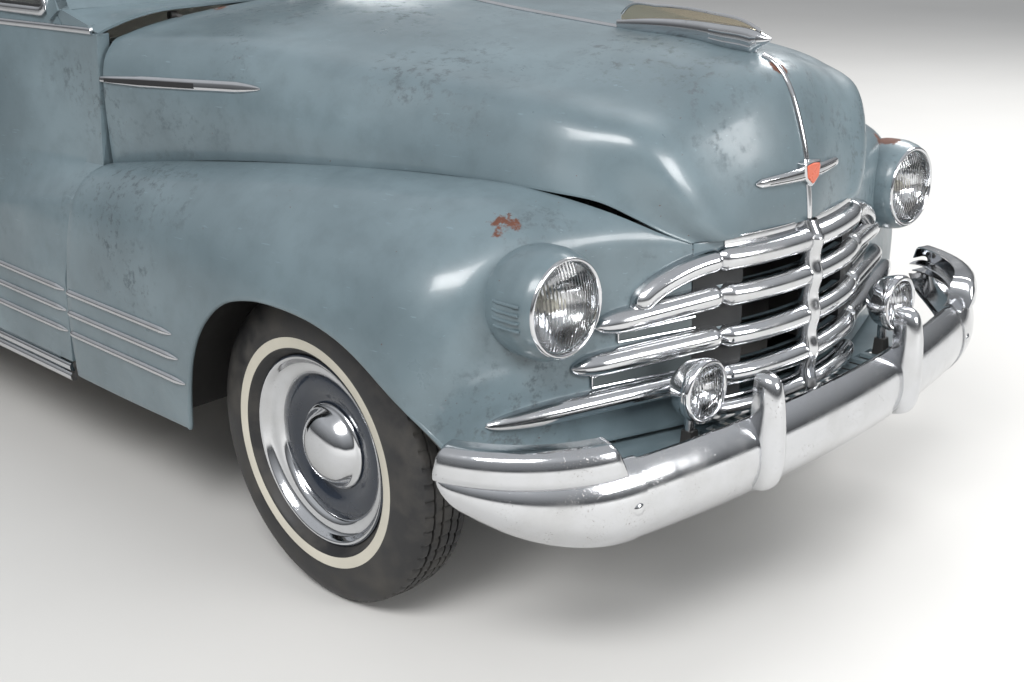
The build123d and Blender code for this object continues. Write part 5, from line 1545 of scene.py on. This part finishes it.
def bumper_path():
    """Plan line of the bumper's face from the centre to the left tip."""
    middle_x = BUMPER_X - BUMPER_R
    swing = math.radians(11.1)
    arc = [(middle_x + BUMPER_R * math.cos(t), BUMPER_R * math.sin(t)) for t in np.linspace(0, swing, 40)]
    start = np.array(arc[-1])
    heading = np.array([-math.sin(swing), math.cos(swing)])
    chord = np.array([2172.0, 900.0]) - start
    reach = np.linalg.norm(chord)
    turn = (heading[0] * chord[1] - heading[1] * chord[0]) / reach
    radius = reach / (2 * turn)
    origin = start + np.array([-heading[1], heading[0]]) * radius
    first = math.atan2(start[1] - origin[1], start[0] - origin[0])
    wing = [(origin[0] + radius * math.cos(first + t), origin[1] + radius * math.sin(first + t))
            for t in np.linspace(0, 2 * math.asin(turn), 50)[1:]]
    return np.array(arc + wing)


def bar_grid(path, outlines):
    """Points along a plan line, for outlines of (depth behind the line, z)."""
    heading = np.gradient(path, axis=0)
    heading /= np.linalg.norm(heading, axis=1)[:, None]
    outer = np.stack([heading[:, 1], -heading[:, 0]], 1)
    outlines = np.asarray(outlines, float)
    flat = path[:, None] - outer[:, None] * outlines[:, :, :1]
    return np.concatenate([flat, outlines[:, :, 1:]], 2)


def face_outline(low, high, bulge=34.0):
    """Curved face of the bumper from the bottom roll to the top roll."""
    turn = np.linspace(-1, 1, 21)
    face = [(bulge * abs(t) ** 2.3, (low + high) / 2 + (high - low) / 2 * t) for t in turn]
    foot = [(bulge + 22, low + 9), (bulge + 9, low + 1)]
    return foot + face + [(bulge + 9, high - 1), (bulge + 22, high - 9)]


def guard(name, side):
    """Upright bumper guard: narrow head, broad rounded foot."""
    rows = []
    for z, x, width in GUARD_ROWS:
        turn = np.linspace(-math.pi / 2, math.pi / 2, 17)
        depth = x - GUARD_BACK
        rows.append([(GUARD_BACK + depth * math.cos(t) ** 0.62, side * GUARD_Y + width * math.sin(t), z)
                     for t in turn])
    grid = smooth(np.linspace(0, 1, len(rows)), rows, np.linspace(0, 1, 40))
    return solid(name, grid, tube_faces(40, 17), CHROME, 60)


def wing_outline(t):
    """Wing of the bumper at share t of its length."""
    low = 326 + 100 * t**1.8
    high = 500 + 14 * t
    close = math.sqrt(max(0.02, 1 - max(0.0, (t - 0.9) / 0.1) ** 2))
    middle = (low + high) / 2 + 22 * (1 - close)
    return [(d - 3.5 * close + 8 * (1 - close), middle + (z - (low + high) / 2) * (0.3 + 0.7 * close))
            for d, z in face_outline(low, high, 40)]


def ledge_outline(t):
    """Raised step along the top of the wing at share t of its length."""
    outline = rounded([(52, 480), (0, 480), (-5, 492), (-4, 520), (4, 542), (20, 550), (52, 550)], 9, 4,
                      False)
    rise = math.sin(min(1.0, t / 0.09) * math.pi / 2) ** 0.6
    fall = math.sqrt(max(0.02, 1 - max(0.0, (t - 0.95) / 0.05) ** 2))
    k = max(0.05, rise * (0.45 + 0.55 * fall))
    return [(d + 9 * (1 - k), 480 + (z - 480) * k) for d, z in outline]


def build_bumper(name, facing):
    """Middle bar, two stepped wings, guards, bolts and irons; facing is -1 for the rear one."""
    half = bumper_path()
    path = np.concatenate([(half * np.array([1, -1]))[::-1][:-1], half])
    bar = path[np.abs(path[:, 1]) <= SEAM_Y + 14]
    pieces = [sheet_piece(f"bumper_{name}_bar", bar_grid(bar, [face_outline(330, 495)] * len(bar)), CHROME,
                          depth=0.003)]
    for wing_name, side in SIDES:
        turn = np.array([1, side, 1])
        wing = half[half[:, 1] >= SEAM_Y]
        wing = bar_grid(wing, [wing_outline(t) for t in lengths(wing) / lengths(wing)[-1]])
        pieces.append(sheet_piece(f"bumper_{name}_wing_{wing_name}", wing * turn, CHROME, depth=0.003))
        ledge = spaced(half[half[:, 1] >= 640], 60)
        ledge = bar_grid(ledge, [ledge_outline(t) for t in lengths(ledge) / lengths(ledge)[-1]])
        pieces.append(sheet_piece(f"bumper_{name}_ledge_{wing_name}", ledge * turn, CHROME, depth=0.003))
        pieces.append(guard(f"bumper_{name}_guard_{wing_name}", side))
        bolt_spot = half[np.argmin(np.abs(half[:, 1] - 628))]
        pieces.append(lathe(f"bumper_{name}_bolt_{wing_name}", [(14, -3)] + dome(14, 6, 6),
                            (bolt_spot[0] + 2, side * bolt_spot[1], 412), (0.93, side * 0.36, 0),
                            CLEAN_CHROME, steps=24))
        iron = [(2381, side * 380, 370), (2415, side * 380, 370), (2452, side * 376, 371)]
        pieces.append(sweep(f"bumper_{name}_iron_{wing_name}", bent(iron, 8), bar_outline(26, -8, 8, 3),
                            CHASSIS))
    whole = join(f"bumper_{name}_chrome", pieces)
    if facing < 0:
        whole.data.transform(Matrix.Rotation(math.pi, 4, "Z"))
    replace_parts(whole, f"bumper_{name}")


build_bumper("front", 1)
build_bumper("rear", -1)


# Badges: chromed castings without any lettering, pinned through the hood from behind.
# The front one has an enamelled shield, and the side ones a dark inset; the inset and the dark lines along
# the front one's wing are painted shadow of their grooves.
# The mouldings of the fenders are rolled from the same bright strip as those of the doors.
# Near-black paint that stands in for the shadow in the badges' grooves
SHADOW_BLACK = plain("shadow_black", (0.012, 0.012, 0.013), 0.7)
BADGE_RED = plain("badge_enamel", (0.52, 0.1, 0.045), 0.25, Coat_Weight=0.6)
FINE_HOOD = patch(HOOD_KEYS, 240, 161)
NOSE_CLOUD = FINE_HOOD.reshape(-1, 3)[FINE_HOOD.reshape(-1, 3)[:, 0] > 2150]
HOOD_SIDE = FINE_HOOD[:, :60].reshape(-1, 3)


def nearest_on(cloud, target, axes, count=5):
    """Mean of the points of a cloud that lie nearest in a view."""
    span = ((cloud[:, axes] - np.array(target)) ** 2).sum(1)
    pick = np.argsort(span)[:count]
    weight = 1 / (span[pick] + 1)
    return (cloud[pick] * weight[:, None]).sum(0) / weight.sum()


def build_emblem():
    """Winged bar across the nose with a blank enamelled shield."""
    ys = np.linspace(-150, 150, 61)
    path = np.array([nearest_on(NOSE_CLOUD, (y, 930), [1, 2]) for y in ys])
    path[:, 1] = ys
    path[:, 2] = 930 - np.abs(ys) * 0.02
    path[:, 0] = smooth(ys[::6], path[::6, :1], ys)[:, 0] + 3.5
    size = np.sqrt(np.clip((150 - np.abs(ys)) / 16, 0.02, 1)) * (1.05 - 0.45 * np.abs(ys) / 150)
    bar = moulding(15, -3, 3, 9, 10, 5)
    sweep("emblem_wing", path, bar, CLEAN_CHROME, up=(1, 0, 0.1), size=size, body="hood")
    # Dark lines along the wing: painted shadow of its grooves
    for k in (-5, 5):
        sweep(f"emblem_shadow_line_{k}", path[6:-6] + np.array([9.6, 0, k]) * size[6:-6, None], circle(1.3, 8), SHADOW_BLACK,
              up=(0, 0, 1), body="hood", slot="chrome_trim")
    middle = path[30]
    for name, scale, front, coat in (("rim", 1.0, 12, CLEAN_CHROME), ("face", 0.8, 14.5, BADGE_RED)):
        outline = rounded([(-30, 26), (0, 30), (30, 26), (25, -8), (0, -28), (-25, -8)], 5, 4) * scale
        count = len(outline)
        points = [(middle[0] + x, y * k, middle[2] - 2 + z * k)
                  for x, k in ((-8, 1.0), (front - 3, 1.0), (front, 0.88)) for y, z in outline]
        faces = grid_faces(3, count, wrap_columns=True) + [tuple(range(2 * count, 3 * count))]
        solid(f"emblem_{name}", points, faces, coat, body="hood", slot="chrome_trim")


def build_hood_badges():
    """Blank side badges of the hood, and the mouldings of the front fenders."""
    for name, side in SIDES:
        turn = np.array([1, side, 1])
        xs = np.linspace(886, 1378, 80)
        level = np.interp(xs, (886, 1378), (1086, 1094))
        keys = np.array([nearest_on(HOOD_SIDE, (x, z), [0, 2]) for x, z in zip(xs[::8], level[::8])])
        path = smooth(xs[::8], keys, xs)
        path = np.stack([xs, path[:, 1] + 0.8, level], 1) * turn
        run = xs - xs[0]
        size = np.sqrt(np.clip((run[-1] - run) / 70, 0.01, 1)) * np.clip(0.55 + run / 300, 0, 1)
        bar = moulding(13, -3, 2, 7, 6.5, 3)
        sweep(f"hood_badge_{name}", path, bar, CLEAN_CHROME, up=(0, side, 0.15), size=size, body="hood")
        inset = path[3:50] + np.array([0, side * 4.2, -1.5])
        sweep(f"badge_shadow_inset_{name}", inset, bar_outline(6.5, -3, 3, 1.5), SHADOW_BLACK, up=(0, side, 0.15),
              size=size[3:50], body="hood", slot="chrome_trim")
        for index, (z, front, _) in enumerate(SPEARS):
            spear(f"fender_spear_{index}_{name}", float(door_front_x(z)) + 17, front, z, side, "body")


build_emblem()
build_hood_badges()


# Ornament: low die-cast spear, chromed and bolted along the crown of the hood.
# A clear plastic fin, gone amber with age, stands in a slot along its back.
AMBER = Look("ornament_fin", (0.62, 0.55, 0.42), 0.08).set(Transmission_Weight=0.92, IOR=1.49)


def build_ornament():
    """Low chrome spear with a clear fin along its back."""
    crown = FINE_HOOD[:, 80]
    xs = np.linspace(1846, 2262, 60)
    ground = np.interp(xs, crown[:, 0], crown[:, 2])
    share = (xs - xs[0]) / (xs[-1] - xs[0])
    wide = 17 * np.sqrt(np.clip((1 - share) / 0.1, 0.02, 1)) * (0.35 + 0.65 * np.clip(share / 0.65, 0, 1))
    top = smooth((0, 0.2, 0.7, 0.9, 1.0), [[1208], [1217], [1219], [1211], [1196]], share)[:, 0]
    low = np.maximum(ground - 3, np.interp(share, (0.8, 0.9, 1.0), (0, 1166, 1191)))
    turn = np.linspace(-0.5 * math.pi, 1.5 * math.pi, 21)[:-1]
    rows = [[(x, w * math.copysign(abs(math.cos(t)) ** 0.7, math.cos(t)),
              (a + b) / 2 + (b - a) / 2 * math.copysign(abs(math.sin(t)) ** 0.8, math.sin(t))) for t in turn]
            for x, w, a, b in zip(xs, wide, low, top)]
    base = solid("ornament_base", rows, tube_faces(60, 20), CLEAN_CHROME, 50, body="hood")
    spine = bent([(1858, 0, 1220), (1880, 0, 1240), (1960, 0, 1245), (2110, 0, 1238), (2200, 0, 1224),
                  (2236, 0, 1208)], 50)
    foot = np.interp(spine[:, 0], xs, top) - 4
    fin = np.array([[(x, 0, a + (z - a) * k) for k in np.linspace(0, 1, 5)]
                    for (x, _, z), a in zip(spine, foot)])
    sheet_piece("ornament_fin", fin + np.array([0, 2.0, 0]), AMBER, inside=(0, -500, 1200), depth=0.004,
                body="hood", slot="lamp_glass")
    cap = sweep("ornament_spine", spine, circle(3.4, 10), CLEAN_CHROME, up=(0, 1, 0), body="hood")
    ribs = []
    pick = slice(38, 56)
    for level in (-9, 0, 9):
        for side in (1, -1):
            middle = (low[pick] + top[pick]) / 2 + level * (top[pick] - low[pick]) / 46
            line = np.stack([xs[pick], side * (wide[pick] + 0.5), middle], 1)
            ribs.append(sweep(f"ornament_rib_{level}_{side}", line, circle(2.0, 8), CLEAN_CHROME,
                              body="hood"))
    whole = join("hood_spear", [base, cap] + ribs)
    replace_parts(whole, "hood_ornament")


build_ornament()


# Seats: two benches, each a base and a back, of stuffed cloth with sewn channels.
# Steel frames bolted to the floor carry them.


def cushion(name, low, high, tilt, channels):
    """Stuffed cushion between two corners: rounded block with sewn channels across the car."""
    low = np.array(low, float)
    high = np.array(high, float)
    half = (high - low) / 2
    rows = 44
    columns = 168
    up = np.linspace(-math.pi / 2 * 0.98, math.pi / 2 * 0.98, rows)
    turn = np.linspace(0, 2 * math.pi, columns, endpoint=False)

    def soft(value, power):
        return np.sign(value) * np.abs(value) ** power

    z = soft(np.sin(up), 0.3)[:, None] * np.ones(columns)
    ring_size = soft(np.cos(up), 0.35)[:, None]
    x = ring_size * soft(np.cos(turn), 0.3)[None]
    y = ring_size * soft(np.sin(turn), 0.3)[None]
    groove = np.abs(np.cos(y * channels * math.pi / 2)) ** 0.35
    shape = np.stack([x * half[0], y * half[1], z * half[2]], -1)
    shape[..., 0] *= 0.955 + 0.045 * groove
    shape[..., 2] *= 0.95 + 0.05 * groove
    shape[..., 2] += half[2] * 0.06 * (1 - x**2) * (1 - y**2)
    a = math.radians(tilt)
    turned = shape.copy()
    turned[..., 0] = shape[..., 0] * math.cos(a) - shape[..., 2] * math.sin(a)
    turned[..., 2] = shape[..., 0] * math.sin(a) + shape[..., 2] * math.cos(a)
    points = turned + (low + high) / 2
    piece = solid(name, points, tube_faces(rows, columns), SEAT, 0, slot="seat_cloth")
    return piece


def build_seats():
    front = [cushion("front_seat_base", (-270, -610, 604), (335, 610, 752), 3, 9),
             cushion("front_seat_back", (-300, -610, 690), (-160, 610, 1188), 11, 9)]
    rear = [cushion("rear_seat_base", (-1050, -585, 606), (-555, 585, 760), 3, 8),
            cushion("rear_seat_back", (-1100, -585, 720), (-975, 585, 1140), 14, 8)]
    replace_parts(front[0], "front_seat")
    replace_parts(rear[0], "rear_seat")


build_seats()


# Steering wheel: hard plastic moulded over a steel core, with three spokes on a hub.
# A chromed horn ring sits before the spokes, and a nut holds the hub on its column.
PLASTIC = plain("wheel_plastic", (0.035, 0.03, 0.027), 0.25, Coat_Weight=0.3)


def closed_turn(name, profile, place, axis, finish, steps, **words):
    """Ring turned from a closed outline."""
    axis = np.array(axis) / np.linalg.norm(axis)
    side = np.cross((0, 0, 1.0), axis)
    side /= np.linalg.norm(side)
    other = np.cross(axis, side)
    profile = np.asarray(profile, float)
    turn = np.linspace(0, 2 * math.pi, steps, endpoint=False)
    ways = np.cos(turn)[:, None] * side + np.sin(turn)[:, None] * other
    points = np.array(place) + ways[:, None] * profile[None, :, :1] + axis * profile[None, :, 1:]
    return solid(name, points, grid_faces(steps, len(profile), True, True), finish, **words)


def build_steering():
    along = np.array([528.0, 0, -310.0])
    along /= np.linalg.norm(along)
    hub = np.array([330.0, 370.0, 1010.0])
    turn = np.linspace(0, 2 * math.pi, 17)[:-1]
    rim = [(215 + 11 * math.cos(t), 9.5 * math.sin(t)) for t in turn]
    words = {"body": "steering_wheel", "slot": "wheel_plastic"}
    parts = [closed_turn("steering_rim", rim, hub, along, PLASTIC, 120, **words),
             closed_turn("horn_ring", [(118 + 4 * math.cos(t), -18 + 4 * math.sin(t)) for t in turn], hub,
                         along, CLEAN_CHROME, 96, **words),
             lathe("steering_hub",
                   rounded([(0.5, -26), (22, -24), (34, -12), (34, 16), (26, 21), (14.5, 21)], 5, 3, False),
                   hub, tuple(along), PLASTIC, steps=48, **words)]
    side = np.array([0, 1.0, 0])
    up = np.cross(side, along)
    for angle in (90, 210, 330):
        a = math.radians(angle)
        way = side * math.cos(a) + up * math.sin(a)
        spots = [hub + way * r + along * d for r, d in ((24, 2), (90, -4), (160, -3), (212, 0))]
        parts.append(sweep(f"steering_spoke_{angle}", bent(spots, 14), bar_outline(9, -4, 4, 3), PLASTIC,
                           up=tuple(along), size=np.linspace(1.2, 0.9, 14), **words))
    whole = join("steering_wheel_set", parts)
    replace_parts(whole, "steering_wheel")


build_steering()


# Dashboard: pressed steel, painted, with round gauges set in from behind under chromed rims.
# Bright rods cover the speaker, and a beaded line and a knob mark the glove box.
#
# Gauges: (y, z, radius), and the plane of their glasses
GAUGES = ((370, 1060, 62), (-60, 1062, 44), (-150, 1062, 20), (30, 1062, 20))
GAUGE_X = 581.6


def build_dash():
    for index, (y, z, radius) in enumerate(GAUGES):
        spot = (GAUGE_X, y, z)
        axis = (-1, 0, 0.1)
        lathe(f"gauge_rim_{index}",
              rounded([(radius, -2), (radius + 2, 7), (radius + 9, 5), (radius + 10, -2)], 2, 3, False), spot,
              axis, CLEAN_CHROME, steps=64)
        lathe(f"gauge_face_{index}", [(0.4, 2), (radius * 0.5, 2), (radius + 1, 2)], spot, axis, SEAL,
              steps=64, slot="dash_paint")
        needle = np.array([(spot[0] - 4, y, z), (spot[0] - 4, y + radius * 0.5, z + radius * 0.55)])
        sweep(f"gauge_needle_{index}", bent(needle, 4), circle(1.2, 6), BADGE_RED, up=(-1, 0, 0),
              slot="dash_paint")
    for k in range(9):
        z = 950 + k * 7
        x = 612 - (z - 930) * 0.54
        bar = np.array([(x - 2, y, z) for y in np.linspace(-70, 40, 10)])
        sweep(f"speaker_bar_{k}", bar, circle(2.2, 8), CLEAN_CHROME)
    box_line = rounded([(-420, 1000), (-200, 1000), (-200, 1078), (-420, 1078)], 14, 4)
    path = np.array([(573 + (z - 1000) * 0.11, y, z) for y, z in looped(box_line, 80)])
    ring("glove_box_line", path, circle(2.0, 8), CLEAN_CHROME, up=(-1, 0, 0))
    lathe("glove_box_knob", dome(10, 7, 6), (576, -220, 1040), (-1, 0, 0.1), CLEAN_CHROME, steps=24)


build_dash()


# Tail lamps: round red glasses, let into the tail panel on both sides of the boot.
# Turned and chromed rings hold them to the steel.


def build_tail():
    for name, side in SIDES:
        spot = (BODY_TAIL - 0.3, side * 478, 590)
        lathe(f"tail_bezel_{name}", rounded([(43, -1), (44, -8), (50, -7), (53, 0.5)], 3, 3, False), spot,
              (1, 0, 0), CLEAN_CHROME, steps=64)


build_tail()


# Plain solids: frame, axles, engine, exhaust, window glass and all else without a piece of its own.
# They keep the shape they have and take only a finish: black, grey or rusted steel, enamel, or glass.
ENGINE = plain("engine_grey", (0.12, 0.13, 0.125), 0.5, 0.3, grain=90)
RUSTY = plain("exhaust_rust", (0.12, 0.065, 0.04), 0.75, 0.3, shift=0.5)
DASH = plain("dash_enamel", (0.19, 0.22, 0.225), 0.3, Coat_Weight=0.4)
WINDOW = glass("window_glass")
RED = Look("tail_red", (0.42, 0.012, 0.01), 0.12).set(Transmission_Weight=0.4, Coat_Weight=0.6)
NODE_LOOKS = {
    "frame_rails": CHASSIS, "front_suspension": CHASSIS, "rear_axle": CHASSIS, "radiator": CHASSIS,
    "fuel_tank": CHASSIS, "knuckle_left": CHASSIS, "knuckle_right": CHASSIS, "seat_frames": CHASSIS,
    "steering_column": CHASSIS,
    "engine": ENGINE, "exhaust": RUSTY, "dashboard": DASH, "steering_wheel": PLASTIC, "floor_pan": LINING,
    "windscreen": WINDOW, "rear_glass": WINDOW, "door_glass_left": WINDOW, "door_glass_right": WINDOW,
    "tail_lamps": RED, "front_seat": SEAT, "rear_seat": SEAT, "hood_ornament": CLEAN_CHROME,
}
for node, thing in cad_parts.items():
    coat = NODE_LOOKS.get(node, PAINT)
    thing.data.materials.clear()
    thing.data.materials.append(coat)


# Stage: pale studio floor under a soft sky, with a key lamp, a rim lamp and a front lamp.
# It isn't part of the car.


def build_stage():
    floor = bpy.data.meshes.new("floor")
    floor.from_pydata([(-30, -30, 0), (30, -30, 0), (30, 30, 0), (-30, 30, 0)], [], [(0, 1, 2, 3)])
    look = Look("floor_pale", (0.62, 0.61, 0.59), 0.8)
    tone = look.mix(look.noise(0.6, 4.0), (0.58, 0.57, 0.55), (0.66, 0.65, 0.63))
    floor.materials.append(look.set(Base_Color=tone, Roughness=0.8))
    piece = bpy.data.objects.new("floor", floor)
    bpy.context.collection.objects.link(piece)
    world = bpy.data.worlds.new("studio")
    bpy.context.scene.world = world
    world.use_nodes = True
    tree = world.node_tree
    spread = tree.nodes.new("ShaderNodeSeparateXYZ")
    sky = tree.nodes.new("ShaderNodeValToRGB")
    tree.links.new(tree.nodes.new("ShaderNodeTexCoord").outputs["Generated"], spread.inputs["Vector"])
    tree.links.new(spread.outputs["Z"], sky.inputs["Fac"])
    tree.links.new(sky.outputs["Color"], tree.nodes["Background"].inputs["Color"])
    for element, at, grey in zip(sky.color_ramp.elements, (0.02, 0.55), (0.16, 0.9)):
        element.position = at
        element.color = (grey * 0.95, grey * 0.98, grey * 1.02, 1)
    tree.nodes["Background"].inputs["Strength"].default_value = 0.62
    for name, place, target, size, power in (
        ("key", (4.5, -5.5, 6.5), (1.2, -0.3, 0.6), 4.5, 620),
        ("rim", (1.0, 6.0, 5.5), (1.2, 0.0, 0.8), 4.0, 420),
        ("front", (8.5, 1.0, 3.0), (2.2, 0.0, 0.7), 3.0, 260),
    ):
        data = bpy.data.lights.new(name, "AREA")
        data.shape = "RECTANGLE"
        data.size = size
        data.size_y = size * 0.6
        data.energy = power
        lamp = bpy.data.objects.new(name, data)
        lamp.location = place
        lamp.rotation_euler = (Vector(target) - Vector(place)).to_track_quat("-Z", "Y").to_euler()
        bpy.context.collection.objects.link(lamp)
    bpy.context.scene.view_settings.view_transform = "Standard"


build_stage()
